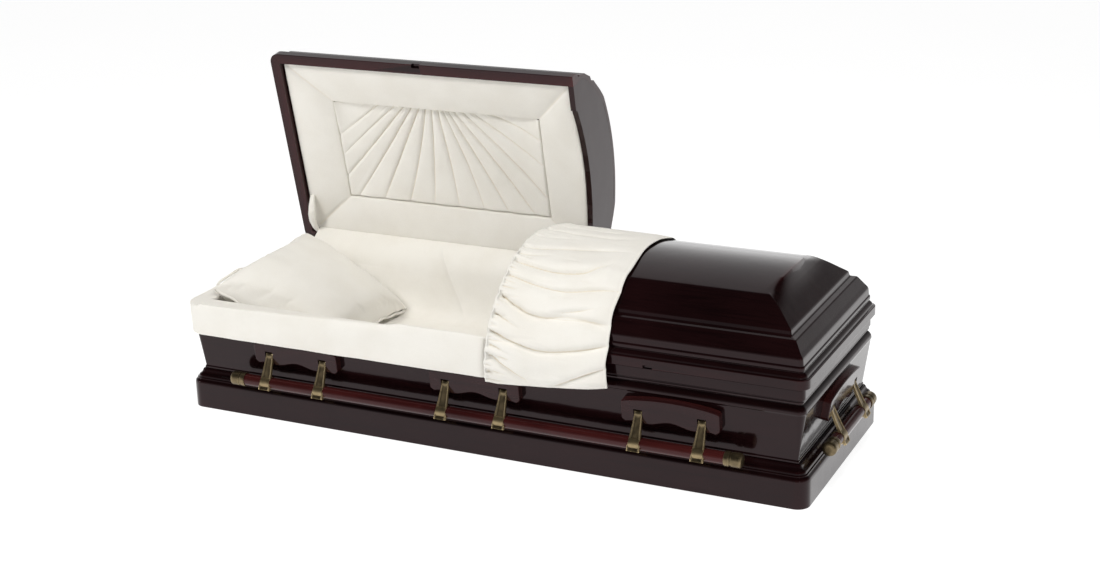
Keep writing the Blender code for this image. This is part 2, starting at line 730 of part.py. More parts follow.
def build_extendover():
    """The cloth folded out over the front ledge and round the head end."""
    out = EXTEND_OUT
    low_z = BODY_TOP + FIT_GAP
    high_z = low_z + LEDGE_CLOTH_T
    rim_clear = RIM_OUTER - 0.002
    section = [
        (BODY_INNER + 0.002, low_z),
        (0.0145, low_z),
        (0.0125, BODY_TOP - 0.0165),
        (-PLATE_CLEAR_OUT, BODY_TOP - 0.0565),
        (-PLATE_CLEAR_OUT, EXTEND_HEM_Z),
        (-out, EXTEND_HEM_Z),
        (-out - 0.001, BODY_TOP - 0.0615),
        (-out - 0.001, BODY_TOP + 0.0105),
        (-0.006, EXTEND_TOP_Z - 0.004),
        (0.0, EXTEND_TOP_Z),
        (rim_clear, EXTEND_TOP_Z - 0.006),
        (rim_clear, high_z),
        (BODY_INNER + 0.002, high_z),
    ]
    loops = []
    for inset, z in section:
        front = Vector((EXTEND_FOOT_X, -(HALF_WIDTH - inset), z))
        back = Vector((-(HALF_LENGTH - inset), EXTEND_BACK_Y, z))
        loops.append([back] + corner_arc(3, inset, z) + [front])
    add_object("ledge_cloth", loft("ledge_cloth", loops, loop_closed=False), cloth())


def drape_line():
    """(y, z) points of the cloth's underside from the front hem over the lid to the back hem."""
    rim = (RIM_OUTER, LID_BOTTOM + RIM_H)
    slope = [rim] + LID_OUTER[LID_SLOPE_START:]
    crest = [(HALF_WIDTH - y, z) for y, z in crown_line() if y >= 0.0]
    line = offset_line(slope + crest, -CLOTH_GAP)
    front = [
        (-DRAPE_OUT, DRAPE_HEM_Z[0]),
        (-DRAPE_OUT, BODY_TOP - 0.0415),
        (-DRAPE_OUT, BODY_TOP + 0.0105),
        (-0.004, BODY_TOP + 0.0345),
    ]
    rise = [(inset - HALF_WIDTH, z) for inset, z in front + line[1:]]
    fall = [(-y, z) for y, z in reversed(rise[:-1]) if -y < DRAPE_BACK_Y]
    return rise + fall


def build_drape(hinge):
    """The cloth thrown over the foot lid, gathered at its head edge."""
    line = drape_line()
    lengths = [0.0]
    for before, after in zip(line, line[1:]):
        lengths.append(lengths[-1] + math.dist(before, after))
    rows = []
    start_x = FOOT_CUT_X + FIT_GAP
    for index, (y, z) in enumerate(line):
        before = Vector(line[max(index - 1, 0)])
        after = Vector(line[min(index + 1, len(line) - 1)])
        along = (after - before).normalized()
        normal = Vector((-along.y, along.x))
        row = []
        for step in range(DRAPE_STEPS_X + 1):
            share = step / DRAPE_STEPS_X
            wave = 0.5 - 0.5 * math.cos(2 * math.pi * lengths[index] / DRAPE_FOLD_PITCH + 2 * share)
            lift = DRAPE_FOLD_DEPTH * wave * (1 - share) ** 0.5
            drop = (DRAPE_HEM_Z[1] - DRAPE_HEM_Z[0]) * share if index == 0 else 0.0
            x = lerp(start_x, DRAPE_FOOT_X, share)
            row.append(Vector((x, y + normal.x * lift, z + normal.y * lift + drop)))
        rows.append(row)
    bm = bmesh.new()
    made = [[bm.verts.new(point) for point in row] for row in rows]
    for row_a, row_b in zip(made, made[1:]):
        strip_faces(bm, row_a, row_b, False)
    cloth_top = add_object("foot_lid_drape", shift_to_pivot(mesh_from(bm, "foot_lid_drape")), cloth(), hinge)
    for polygon in cloth_top.data.polygons:
        polygon.use_smooth = True
    body = cloth_top.modifiers.new("cloth thickness", "SOLIDIFY")
    body.thickness = DRAPE_T
    body.offset = 1.0


# The handles

def panel_lean():
    """Angle by which the wall panel leans out at its top."""
    rise = PANEL_HIGH[1] - PANEL_LOW[1]
    return math.atan2(PANEL_LOW[0] - PANEL_HIGH[0], rise)


def panel_inset(z):
    """Inset of the wall panel's face at a height."""
    share = (z - PANEL_LOW[1]) / (PANEL_HIGH[1] - PANEL_LOW[1])
    return lerp(PANEL_LOW[0], PANEL_HIGH[0], share)


def pivot_inset():
    """Inset of the handle pivots, in the middle of the wooden plate."""
    return panel_inset(PIVOT_Z) - PLATE_T / 2


def plate_outline():
    """Bracket outline: arched top, waved bottom edge, in (along, up) from the plate's lower edge line."""
    half = PLATE_W / 2
    top = []
    steps = PLATE_STEPS
    for step in range(steps + 1):
        share = 2 * step / steps - 1
        rise = (PLATE_CREST_Z - PLATE_END_Z) * math.cos(share * math.pi / 2) ** 0.7
        top.append((-share * (half - 0.004), PLATE_END_Z + rise))
    bottom = []
    for step in range(steps + 1):
        share = 2 * step / steps - 1
        wave = PLATE_WAVE * (0.5 + 0.5 * math.cos(share * 2 * math.pi)) * (1 - abs(share) ** 3)
        bottom.append((share * (half - 0.012), PLATE_BOTTOM_Z + wave))
    left = [(-half, PLATE_END_Z - 0.006), (-half, PLATE_BOTTOM_Z + 0.010)]
    right = [(half, PLATE_BOTTOM_Z + 0.010), (half, PLATE_END_Z - 0.006)]
    return top + left + bottom + right


def build_plate(name, centre, spread, turn_z, out):
    """A wooden plate on the leaning wall, slotted for two arms. Local -Y points away from the case."""
    inset = panel_inset(PIVOT_Z)
    lean = panel_lean()
    stand = Matrix(((1, 0, 0, 0), (0, 0, -1, 0), (0, 1, 0, -PIVOT_Z), (0, 0, 0, 1)))
    mesh = flat_outline(name, plate_outline(), PLATE_T - 2 * FIT_GAP, stand)
    mesh.transform(Matrix.Translation((0.0, -(PLATE_T / 2 + FIT_GAP), 0.0)))
    mesh.transform(Matrix.Rotation(lean, 4, "X"))
    place = Matrix.Rotation(math.radians(turn_z), 4, "Z") @ Matrix.Translation((centre, -(out - inset), PIVOT_Z))
    plate = add_object(name, mesh, wood())
    plate.matrix_world = place
    for side in (-1, 1):
        half = ARM_TOP_W / 2 + SLOT_CLEAR
        low = (side * spread - half, -2 * PLATE_T, PLATE_BOTTOM_Z - PIVOT_Z - 0.02)
        high = (side * spread + half, -SLOT_BACK_T, SLOT_TOP_Z - PIVOT_Z)
        slot_mesh = box_mesh(name + "_slot", low, high)
        slot_mesh.transform(Matrix.Rotation(lean, 4, "X"))
        slot = cutter(f"{name}_slot_{side}", slot_mesh)
        slot.matrix_world = place
        boolean(plate, slot, "DIFFERENCE")


def bore_radius():
    """Radius of a many-sided bore whose flats clear the round bar."""
    return (BAR_R + FIT_GAP) / math.cos(math.pi / ROUND_SIDES)


def arm_reach():
    """Where the bar's centre is from the pivot: outwards and down."""
    return pivot_inset() + BAR_OUT, PIVOT_Z - BAR_Z


def build_arm(name, x, holder):
    """A cast arm: knob at the pivot, a widening shank and an eye round the bar."""
    out, down = arm_reach()
    length = math.hypot(out, down)
    angle = math.atan2(out, down)
    stations = [
        (0.0, ARM_TOP_W, ARM_T * 0.9),
        (0.35, ARM_TOP_W, ARM_T),
        (1.0, ARM_BOTTOM_W, ARM_T * 1.3),
    ]
    loops = []
    for share, width, depth in stations:
        z = -share * length
        ring = []
        for corner_x, corner_y in ((-1, -1), (1, -1), (1, 1), (-1, 1)):
            ring.append(Vector((corner_x * width / 2, corner_y * depth / 2, z)))
        loops.append(ring)
    bm = bmesh.new()
    rows = [[bm.verts.new(point) for point in ring] for ring in loops]
    for row_a, row_b in zip(rows, rows[1:]):
        strip_faces(bm, row_a, row_b, True)
    bm.faces.new(rows[0])
    bm.faces.new(rows[-1])
    bmesh.ops.transform(bm, verts=bm.verts, matrix=Matrix.Rotation(-angle, 4, "X"))
    arm = add_object(name, mesh_from(bm, name), bronze(), holder)
    arm.location = (x, 0.0, 0.0)
    eye_r = BAR_R + EYE_WALL
    tools = (
        ("knob", KNOB_R, ARM_TOP_W + 2 * ARM_BOSS, KNOB_SIDES, (0.0, 0.0), "UNION"),
        ("eye", eye_r, ARM_BOTTOM_W + 2 * ARM_BOSS, ROUND_SIDES, (out, down), "UNION"),
        ("bore", bore_radius(), 2 * ARM_BOTTOM_W, ROUND_SIDES, (out, down), "DIFFERENCE"),
    )
    for label, radius, depth, segments, (y, z), operation in tools:
        bm = bmesh.new()
        bmesh.ops.create_cone(bm, cap_ends=True, segments=segments, radius1=radius, radius2=radius, depth=depth)
        spot = Matrix.Translation((0.0, -y, -z)) @ Matrix.Rotation(math.radians(90), 4, "Y")
        bmesh.ops.transform(bm, verts=bm.verts, matrix=spot)
        tool = cutter(f"{name}_{label}", mesh_from(bm, f"{name}_{label}"), holder)
        tool.location = (x, 0.0, 0.0)
        boolean(arm, tool, operation)


def turned_cap(name, side, tip, holder):
    """A two-step bronze cup over the bar's end, turned about the bar's axis."""
    out, down = arm_reach()
    cup = CAP_CUP_DEPTH
    bore = bore_radius()
    profile = [
        (0.0, cup), (bore, cup), (bore, 0.0), (CAP_R, 0.0), (CAP_R, CAP_COLLAR_L),
        (CAP_R - CAP_GROOVE, CAP_COLLAR_L + CAP_GROOVE), (CAP_R, CAP_COLLAR_L + 3 * CAP_GROOVE),
        (CAP_R, CAP_L - 0.009), (CAP_R * 0.6, CAP_L), (0.0, CAP_L),
    ]
    bm = bmesh.new()
    chain = [bm.verts.new((radius, 0.0, -z)) for radius, z in profile]
    for first, second in zip(chain, chain[1:]):
        bm.edges.new((first, second))
    mesh = bpy.data.meshes.new(name)
    bm.to_mesh(mesh)
    bm.free()
    mesh.shade_smooth()
    cap = add_object(name, mesh, bronze(), holder)
    cap.location = (side * (tip - CAP_L), -out, -down)
    cap.rotation_euler = (0.0, -side * math.radians(90), 0.0)
    turn = cap.modifiers.new("turned", "SCREW")
    turn.axis = "Z"
    turn.steps = ROUND_SIDES
    turn.render_steps = ROUND_SIDES
    turn.use_merge_vertices = True
    turn.merge_threshold = 0.00005


def build_bar(name, tip, holder):
    """The wooden carrying bar, capped at both ends."""
    out, down = arm_reach()
    half = tip - CAP_L + CAP_CUP_DEPTH - FIT_GAP
    bm = bmesh.new()
    bmesh.ops.create_cone(
        bm, cap_ends=True, segments=ROUND_SIDES, radius1=BAR_R, radius2=BAR_R, depth=2 * half)
    bmesh.ops.transform(bm, verts=bm.verts, matrix=Matrix.Rotation(math.radians(90), 4, "Y"))
    bar = add_object(name, mesh_from(bm, name), wood(), holder)
    bar.location = (0.0, -out, -down)


def build_handle(side, turn_z, face, plates_x, spread, tip):
    """Plates, swinging arms, bar and caps along one side of the case."""
    for index, centre in enumerate(plates_x):
        build_plate(f"{side}_handle_plate_{index + 1}", centre, spread, turn_z, face)
    turn = Matrix.Rotation(math.radians(turn_z), 4, "Z")
    location = turn @ Vector((0.0, -(face - pivot_inset()), PIVOT_Z))
    holder = pivot(side + "_bar_pivot", location, turn_z)
    number = 0
    for centre in plates_x:
        for step in (-1, 1):
            number += 1
            build_arm(f"{side}_arm_{number}", centre + step * spread, holder)
    build_bar(side + "_bar", tip, holder)
    for label, end in (("a", -1), ("b", 1)):
        turned_cap(f"{side}_bar_cap_{label}", end, tip, holder)


for old in list(bpy.data.objects):
    bpy.data.objects.remove(old)
COLLECTIONS = {}
for key, label in (("parts", "funeral_casket"), ("cutters", "cutters")):
    COLLECTIONS[key] = bpy.data.collections.new(label)
    bpy.context.scene.collection.children.link(COLLECTIONS[key])

build_case()
head_hinge = pivot("head_lid_hinge", (0.0, HINGE_Y, HINGE_Z), tilt_x=-HEAD_LID_OPEN_DEG)
foot_hinge = pivot("foot_lid_hinge", (0.0, HINGE_Y, HINGE_Z))
build_lid("head", head_hinge)
build_lid("foot", foot_hinge)
build_hinge("head", head_hinge)
build_hinge("foot", foot_hinge)
build_bedding()
build_head_lining(head_hinge)
build_foot_lining(foot_hinge)
build_extendover()
build_drape(foot_hinge)
build_handle("front", 0, HALF_WIDTH, SIDE_PLATES_X, SIDE_ARM_SPREAD, SIDE_BAR_HALF)
build_handle("foot_end", 90, HALF_LENGTH, (0.0,), END_ARM_SPREAD, END_BAR_HALF)
build_handle("back", 180, HALF_WIDTH, SIDE_PLATES_X, SIDE_ARM_SPREAD, SIDE_BAR_HALF)
build_handle("head_end", -90, HALF_LENGTH, (0.0,), END_ARM_SPREAD, END_BAR_HALF)
bpy.context.view_layer.update()
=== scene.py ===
"""A half-couch funeral casket of dark lacquered hardwood, head lid open, dressed in ivory crepe.

Metres, +Z up, foot end at +X, front at -Y. Sections (inset, z) measure inset inwards from the
outer face of the base. Lid pieces are drawn with the lid shut and then turned up on the hinge.
"""
import math

import bmesh
import bpy
import numpy as np
from mathutils import Matrix, Vector


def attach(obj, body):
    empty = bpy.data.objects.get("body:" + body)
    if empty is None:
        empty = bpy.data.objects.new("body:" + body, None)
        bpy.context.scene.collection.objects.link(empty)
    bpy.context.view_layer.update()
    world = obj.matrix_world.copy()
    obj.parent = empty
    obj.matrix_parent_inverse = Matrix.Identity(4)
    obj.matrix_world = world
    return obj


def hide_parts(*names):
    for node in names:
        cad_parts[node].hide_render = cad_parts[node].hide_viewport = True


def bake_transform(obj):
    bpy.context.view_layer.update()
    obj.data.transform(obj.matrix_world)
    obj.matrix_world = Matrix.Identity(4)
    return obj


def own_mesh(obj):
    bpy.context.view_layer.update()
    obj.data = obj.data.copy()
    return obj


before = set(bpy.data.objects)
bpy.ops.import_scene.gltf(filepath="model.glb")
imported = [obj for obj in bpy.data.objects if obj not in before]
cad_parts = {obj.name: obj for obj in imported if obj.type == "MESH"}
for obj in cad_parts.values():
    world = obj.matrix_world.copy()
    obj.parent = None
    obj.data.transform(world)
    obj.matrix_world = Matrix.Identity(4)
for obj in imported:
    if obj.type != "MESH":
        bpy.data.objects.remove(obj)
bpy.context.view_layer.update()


# The view and the light: a white studio that darkens overhead, so that upright lacquered faces
# mirror pale surroundings and the sloping ones stay nearly black. The camera stands a little
# above the open lid, at the foot end, and looks down.
scene = bpy.context.scene
lens = bpy.data.cameras.new("camera")
lens.sensor_width = 36.0
lens.sensor_fit = "HORIZONTAL"
lens.lens = 60.053
camera = bpy.data.objects.new("camera", lens)
scene.collection.objects.link(camera)
yaw, pitch, roll = 0.4491, -0.32855, -0.02568
ahead = Vector((-math.sin(yaw) * math.cos(pitch), math.cos(yaw) * math.cos(pitch), math.sin(pitch)))
level = Vector((math.cos(yaw), math.sin(yaw), 0.0))
upward = level.cross(ahead)
right = math.cos(roll) * level + math.sin(roll) * upward
upward = -math.sin(roll) * level + math.cos(roll) * upward
turned = Matrix((right, upward, -ahead)).transposed().to_4x4()
camera.matrix_world = Matrix.Translation((2.48564, -4.96570, 2.32597)) @ turned
scene.camera = camera
scene.view_settings.view_transform = "Standard"
scene.view_settings.look = "None"


def soft_light(name, place, target, size, watts, colour=(1.0, 1.0, 1.0), mirrored=True):
    """A square light of a given size at a place, facing a target. With mirrored off, no glossy
    face shows it."""
    light = bpy.data.lights.new(name, "AREA")
    light.shape = "SQUARE"
    light.size = size
    light.energy = watts
    light.color = colour
    made = bpy.data.objects.new(name, light)
    made.location = place
    made.rotation_euler = (Vector(target) - Vector(place)).to_track_quat("-Z", "Y").to_euler()
    made.visible_glossy = mirrored
    scene.collection.objects.link(made)


soft_light("key", (-2.4, -3.3, 4.0), (-0.2, 0.0, 0.3), 1.2, 125.0, (1.0, 0.985, 0.96), False)
soft_light("overhead", (1.5, -0.9, 4.2), (0.0, 0.0, 0.3), 1.8, 92.0, (1.0, 0.99, 0.97), False)
soft_light("fill", (4.4, 1.2, 2.6), (0.2, 0.0, 0.3), 2.0, 8.0, (1.0, 1.0, 1.0), False)
soft_light("glint_right", (4.6, -5.6, 1.7), (0.2, 0.0, 0.3), 0.9, 9.0)
soft_light("glint_left", (-5.4, -3.4, 1.3), (-0.2, 0.0, 0.3), 0.9, 12.0)

world = bpy.data.worlds.new("studio")
scene.world = world
world.use_nodes = True
sky = world.node_tree
aim = sky.nodes.new("ShaderNodeTexCoord")
split = sky.nodes.new("ShaderNodeSeparateXYZ")


def stepped(source, start, end, low, high):
    """A soft step of one direction's share: low before start, high after end."""
    made = sky.nodes.new("ShaderNodeMapRange")
    made.interpolation_type = "SMOOTHSTEP"
    made.inputs["From Min"].default_value = start
    made.inputs["From Max"].default_value = end
    made.inputs["To Min"].default_value = low
    made.inputs["To Max"].default_value = high
    sky.links.new(source, made.inputs["Value"])
    return made.outputs["Result"]


def combined(operation, first, second):
    """Adds or multiplies two shares of the sky."""
    made = sky.nodes.new("ShaderNodeMath")
    made.operation = operation
    sky.links.new(first, made.inputs[0])
    sky.links.new(second, made.inputs[1])
    return made.outputs[0]


sky.links.new(aim.outputs["Generated"], split.inputs[0])
low_band = stepped(split.outputs["Z"], 0.0, 0.55, 0.54, 0.022)
screen = combined("MULTIPLY", stepped(split.outputs["X"], -0.10, 0.22, 0.68, 0.0),
                  stepped(split.outputs["Y"], 0.40, 0.58, 0.0, 1.0))
sky.links.new(combined("ADD", low_band, screen), sky.nodes["Background"].inputs["Strength"])
sky.nodes["Background"].inputs["Color"].default_value = (1.0, 1.0, 1.0, 1.0)


def node(tree, kind, links=(), **values):
    """Adds a shader node, sets its inputs by name and links (input, source socket) pairs."""
    made = tree.nodes.new(kind)
    for key, value in values.items():
        if key in made.inputs:
            made.inputs[key].default_value = value
        else:
            setattr(made, key, value)
    for socket, source in links:
        tree.links.new(source, made.inputs[socket])
    return made


def new_finish(name):
    """An empty finish: its node tree, its surface shader and the piece's own coordinates."""
    made = bpy.data.materials.new(name)
    made.use_nodes = True
    tree = made.node_tree
    own = tree.nodes.new("ShaderNodeTexCoord")
    return made, tree, tree.nodes["Principled BSDF"], own.outputs["Object"]


def ramp(tree, source, stops):
    """Colour ramp through (place, colour) stops."""
    made = tree.nodes.new("ShaderNodeValToRGB")
    while len(made.color_ramp.elements) < len(stops):
        made.color_ramp.elements.new(0.5)
    for element, (place, colour) in zip(made.color_ramp.elements, stops):
        element.position = place
        element.color = (*colour, 1.0)
    tree.links.new(source, made.inputs["Fac"])
    return made.outputs["Color"]


def plain_floor():
    """Matt grey floor with the faintest mottling, with enough glow of its own to look white."""
    made, tree, shader, own = new_finish("studio_floor")
    cloudy = node(tree, "ShaderNodeTexNoise", [("Vector", own)], Scale=0.8, Detail=2.0)
    colour = ramp(tree, cloudy.outputs[0], [(0.3, (0.34, 0.34, 0.34)), (0.7, (0.36, 0.36, 0.36))])
    tree.links.new(colour, shader.inputs["Base Color"])
    shader.inputs["Roughness"].default_value = 0.9
    shader.inputs["Specular IOR Level"].default_value = 0.1
    shader.inputs["Emission Color"].default_value = (1.0, 1.0, 1.0, 1.0)
    shader.inputs["Emission Strength"].default_value = 0.90
    return made


floor_mesh = bpy.data.meshes.new("floor")
floor_mesh.from_pydata([(-40, -40, 0), (40, -40, 0), (40, 60, 0), (-40, 60, 0)], [], [(0, 1, 2, 3)])
floor_mesh.materials.append(plain_floor())
floor = bpy.data.objects.new("floor", floor_mesh)
scene.collection.objects.link(floor)


# Base moulding: a mitred hardwood plinth frame with a tall plain face, a rounded shoulder, a
# narrow quirk and a cove up to the case. The flat bottom board is glued inside it.
# Both are stained red-brown and flow-coated with clear lacquer.
def multiplied(tree, first, second):
    """One colour times another."""
    made = node(tree, "ShaderNodeMix", data_type="RGBA", blend_type="MULTIPLY")
    made.inputs[0].default_value = 1.0
    tree.links.new(first, made.inputs[6])
    tree.links.new(second, made.inputs[7])
    return made.outputs[2]


def tinted(tree, source, share, colour):
    """A colour turned towards a fixed one by a share."""
    made = node(tree, "ShaderNodeMix", data_type="RGBA")
    tree.links.new(share, made.inputs[0])
    tree.links.new(source, made.inputs[6])
    made.inputs[7].default_value = (*colour, 1.0)
    return made.outputs[2]


def lacquer(name, dark, light, edge, along=(1.5, 28.0, 28.0)):
    """Stained wood under clear lacquer: streaks stretched along the grain; edges red as wear and as painted
    highlight.
    """
    made, tree, shader, own = new_finish(name)
    place = node(tree, "ShaderNodeMapping", [("Vector", own)], Scale=along)
    grain = node(tree, "ShaderNodeTexNoise", [("Vector", place.outputs[0])], Scale=2.2, Detail=7.0,
                 Roughness=0.62, Distortion=0.5)
    stain = ramp(tree, grain.outputs[0], [(0.30, dark), (0.52, light), (0.72, dark)])
    cloudy = node(tree, "ShaderNodeTexNoise", [("Vector", own)], Scale=3.5, Detail=2.0)
    patch = ramp(tree, cloudy.outputs[0], [(0.35, (0.75, 0.75, 0.75)), (0.7, (1.2, 1.15, 1.15))])
    shape = tree.nodes.new("ShaderNodeNewGeometry")
    # Painted highlight and wear: where the surface turns sharply at an edge, the colour goes red.
    wear_and_highlight = ramp(tree, shape.outputs["Pointiness"], [(0.515, (0, 0, 0)), (0.60, (1, 1, 1))])
    worn_and_highlit = tinted(tree, multiplied(tree, stain, patch), wear_and_highlight, edge)
    tree.links.new(worn_and_highlit, shader.inputs["Base Color"])
    rough = node(tree, "ShaderNodeMapRange", [("Value", grain.outputs[0])])
    rough.inputs["To Min"].default_value = 0.11
    rough.inputs["To Max"].default_value = 0.21
    tree.links.new(rough.outputs[0], shader.inputs["Roughness"])
    flow = node(tree, "ShaderNodeTexNoise", [("Vector", own)], Scale=9.0, Detail=2.0)
    peel = node(tree, "ShaderNodeTexNoise", [("Vector", own)], Scale=160.0, Detail=1.0)
    wavy = node(tree, "ShaderNodeBump", [("Height", flow.outputs[0])], Strength=0.5, Distance=0.0034)
    skin = node(tree, "ShaderNodeBump", [("Height", peel.outputs[0]), ("Normal", wavy.outputs[0])],
                Strength=0.12, Distance=0.0004)
    tree.links.new(skin.outputs[0], shader.inputs["Coat Normal"])
    pores = node(tree, "ShaderNodeBump", [("Height", grain.outputs[0])], Strength=0.10, Distance=0.0006)
    tree.links.new(pores.outputs[0], shader.inputs["Normal"])
    shader.inputs["Specular IOR Level"].default_value = 0.16
    shader.inputs["Specular Tint"].default_value = (1.0, 0.60, 0.66, 1.0)
    shader.inputs["Coat Weight"].default_value = 0.58
    shader.inputs["Coat Roughness"].default_value = 0.035
    shader.inputs["Coat IOR"].default_value = 1.34
    return made


STAIN = ((0.0040, 0.0014, 0.0017), (0.0088, 0.0027, 0.0030))
WOOD = lacquer("mahogany_lacquer", *STAIN, (0.042, 0.008, 0.008))


def rounded(points, radii, steps=4, closed=False):
    """Rounds a line's corners: each becomes the quadratic curve between the spots one radius before
    and after it, never past 0.45 of a side. points is (n, 2 or 3), radii one number or n of them."""
    points = np.asarray(points, float)
    radii = np.broadcast_to(np.asarray(radii, float), (len(points),))
    before = np.roll(points, 1, 0) - points
    after = np.roll(points, -1, 0) - points
    long_before = np.linalg.norm(before, axis=1)
    long_after = np.linalg.norm(after, axis=1)
    start = points + before / long_before[:, None] * np.minimum(radii, 0.45 * long_before)[:, None]
    end = points + after / long_after[:, None] * np.minimum(radii, 0.45 * long_after)[:, None]
    share = np.linspace(0, 1, steps + 1)[None, :, None]
    curve = (1 - share) ** 2 * start[:, None] + 2 * share * (1 - share) * points[:, None]
    curve = curve + share ** 2 * end[:, None]
    if closed:
        return curve.reshape(-1, points.shape[1])
    inner = curve[1:-1].reshape(-1, points.shape[1])
    return np.vstack([points[:1], inner, points[-1:]])


def section(rows, steps=4, closed=True):
    """A moulding's rounded (inset, z) line from rows of (inset, z, corner radius)."""
    rows = np.asarray(rows, float)
    return rounded(rows[:, :2], rows[:, 2], steps, closed)


def grid_faces(rows, columns, wrap_rows, wrap_columns, start=0):
    """Quads between neighbours of a rows x columns grid of points numbered from start."""
    row = np.arange(rows if wrap_rows else rows - 1)[:, None]
    column = np.arange(columns if wrap_columns else columns - 1)[None]
    next_row = (row + 1) % rows
    next_column = (column + 1) % columns
    corners = [row * columns + column, next_row * columns + column,
               next_row * columns + next_column, row * columns + next_column]
    return start + np.stack(corners, -1).reshape(-1, 4)


def built(name, grids, fills=(), merge=0.00002):
    """Mesh from grids (points, wrap rows, wrap columns) and flat fills (loops of points). Points that
    coincide are joined, so that seams close, and faces turn outwards."""
    spots, faces, count = [], [], 0
    for points, wrap_rows, wrap_columns in grids:
        rows, columns = points.shape[:2]
        spots.append(points.reshape(-1, 3))
        faces += grid_faces(rows, columns, wrap_rows, wrap_columns, count).tolist()
        count += rows * columns
    for loop in fills:
        spots.append(np.asarray(loop))
        faces.append(list(range(count, count + len(loop))))
        count += len(loop)
    mesh = bpy.data.meshes.new(name)
    mesh.from_pydata(np.vstack(spots), [], faces)
    bm = bmesh.new()
    bm.from_mesh(mesh)
    bmesh.ops.remove_doubles(bm, verts=bm.verts, dist=merge)
    bmesh.ops.recalc_face_normals(bm, faces=bm.faces)
    bm.to_mesh(mesh)
    bm.free()
    mesh.shade_smooth()
    return mesh


def placed(name, mesh, finish, body, stands_for, even=True, sharp=None):
    """Puts a mesh in the scene on its body, in the place of the frame's own node or nodes."""
    made = bpy.data.objects.new(name, mesh)
    mesh.materials.clear()
    mesh.materials.append(finish)
    scene.collection.objects.link(made)
    if sharp:
        mesh.set_sharp_from_angle(angle=math.radians(sharp))
    if even:
        step = made.modifiers.new("even shading", "WEIGHTED_NORMAL")
        step.keep_sharp = True
    if body:
        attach(made, body)
    if stands_for:
        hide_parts(*stands_for)
    return made


def refinished(names, finish):
    """Gives the frame's own nodes a finish, where the solid is already the whole form."""
    for name in names:
        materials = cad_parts[name].data.materials
        materials.clear()
        materials.append(finish)


HALF_LENGTH = 1.065
HALF_WIDTH = 0.36775
SPACES = np.array([0.015, 0.10, 0.30, 0.50, 0.70, 0.90, 0.985])


def ring(line, corner_steps=9, soft_corner=0.04):
    """Carries an (inset, z) line round the case, each corner a quarter circle whose radius shrinks
    with inset. Returns points (line, ring, 3)."""
    inset = line[:, 0][:, None, None]
    radius = np.maximum(soft_corner - inset, 0.004)
    corner = np.arange(4)[None, :, None]
    angle = np.linspace(0, np.pi / 2, corner_steps + 1)[None, None] + (corner - 1) * np.pi / 2
    sign_x = np.where(corner < 2, 1, -1)
    sign_y = np.where((corner == 1) | (corner == 2), 1, -1)
    x = sign_x * (HALF_LENGTH - inset - radius) + radius * np.cos(angle)
    y = sign_y * (HALF_WIDTH - inset - radius) + radius * np.sin(angle)
    arcs = np.stack([x, y, np.broadcast_to(line[:, 1][:, None, None], x.shape)], -1)
    first = np.roll(arcs[:, :, 0], -1, axis=1)[:, :, None]
    last = arcs[:, :, -1][:, :, None]
    runs = last + (first - last) * SPACES[None, None, :, None]
    return np.concatenate([arcs, runs], 2).reshape(len(line), -1, 3)


base_line = section([
    (0.050, 0.0, 0.0005), (0.0, 0.0, 0.003), (0.0, 0.0885, 0.009), (0.0080, 0.0965, 0.003),
    (0.0090, 0.1005, 0.0008), (0.0130, 0.1012, 0.0012), (0.0150, 0.1090, 0.005),
    (0.0240, 0.1135, 0.006), (0.0300, 0.1262, 0.004), (0.0330, 0.1278, 0.001), (0.050, 0.128, 0.0005),
])
placed("plinth_frame", built("plinth_frame", [(ring(base_line), True, True)]), WOOD, "case",
       ["base_moulding"])
UNDER_WOOD = lacquer("bottom_board_wood", (0.050, 0.021, 0.014), (0.085, 0.038, 0.024), (0.09, 0.04, 0.02))
refinished(["bottom_board"], UNDER_WOOD)


# Case walls: four boards that lean outwards, mitred at the corners, with a plain raised panel,
# an undercut ovolo and bead, and a flat band under the lid. Open inside, with a flat ledge on top.
wall_line = section([
    (0.052, 0.1283, 0.0005), (0.0365, 0.1283, 0.001), (0.0365, 0.1340, 0.001), (0.0390, 0.1380, 0.0015),
    (0.0180, 0.2830, 0.0015), (0.0155, 0.2880, 0.002), (0.0165, 0.2970, 0.005), (0.0225, 0.3060, 0.005),
    (0.0315, 0.3120, 0.002), (0.0258, 0.3150, 0.0012), (0.0238, 0.3200, 0.003), (0.0258, 0.3250, 0.0012),
    (0.0205, 0.3290, 0.0015), (0.0205, 0.3600, 0.0018), (0.0222, 0.3615, 0.001), (0.052, 0.3615, 0.0005),
])
placed("case_shell", built("case_shell", [(ring(wall_line), True, True)]), WOOD, "case",
       ["case_walls"])


# Lids: each is one glued half of a barrel-topped lid: a plain rim, coves and a bead, a sloping
# band, a step and a second slope up to the crown. Hollow, with 15 mm walls, cut square at the
# middle. A small notch in the front rim takes the catch.
LID_BOTTOM = 0.3655
CREST_Z = 0.5855
CREST_INSET = 0.187
CROWN_RISE = 0.0275
CROWN_BOW = 0.024
LID_THICK = 0.015
HINGE = np.array([0.0, 0.36645, 0.3635])
OPEN = math.radians(78)


def opened(points):
    """Turns points of the shut head lid up about its hinge line, as the lid stands."""
    points = np.asarray(points, float)
    y = points[..., 1] - HINGE[1]
    z = points[..., 2] - HINGE[2]
    turned = points.copy()
    turned[..., 1] = HINGE[1] + y * math.cos(OPEN) + z * math.sin(OPEN)
    turned[..., 2] = HINGE[2] - y * math.sin(OPEN) + z * math.cos(OPEN)
    return turned


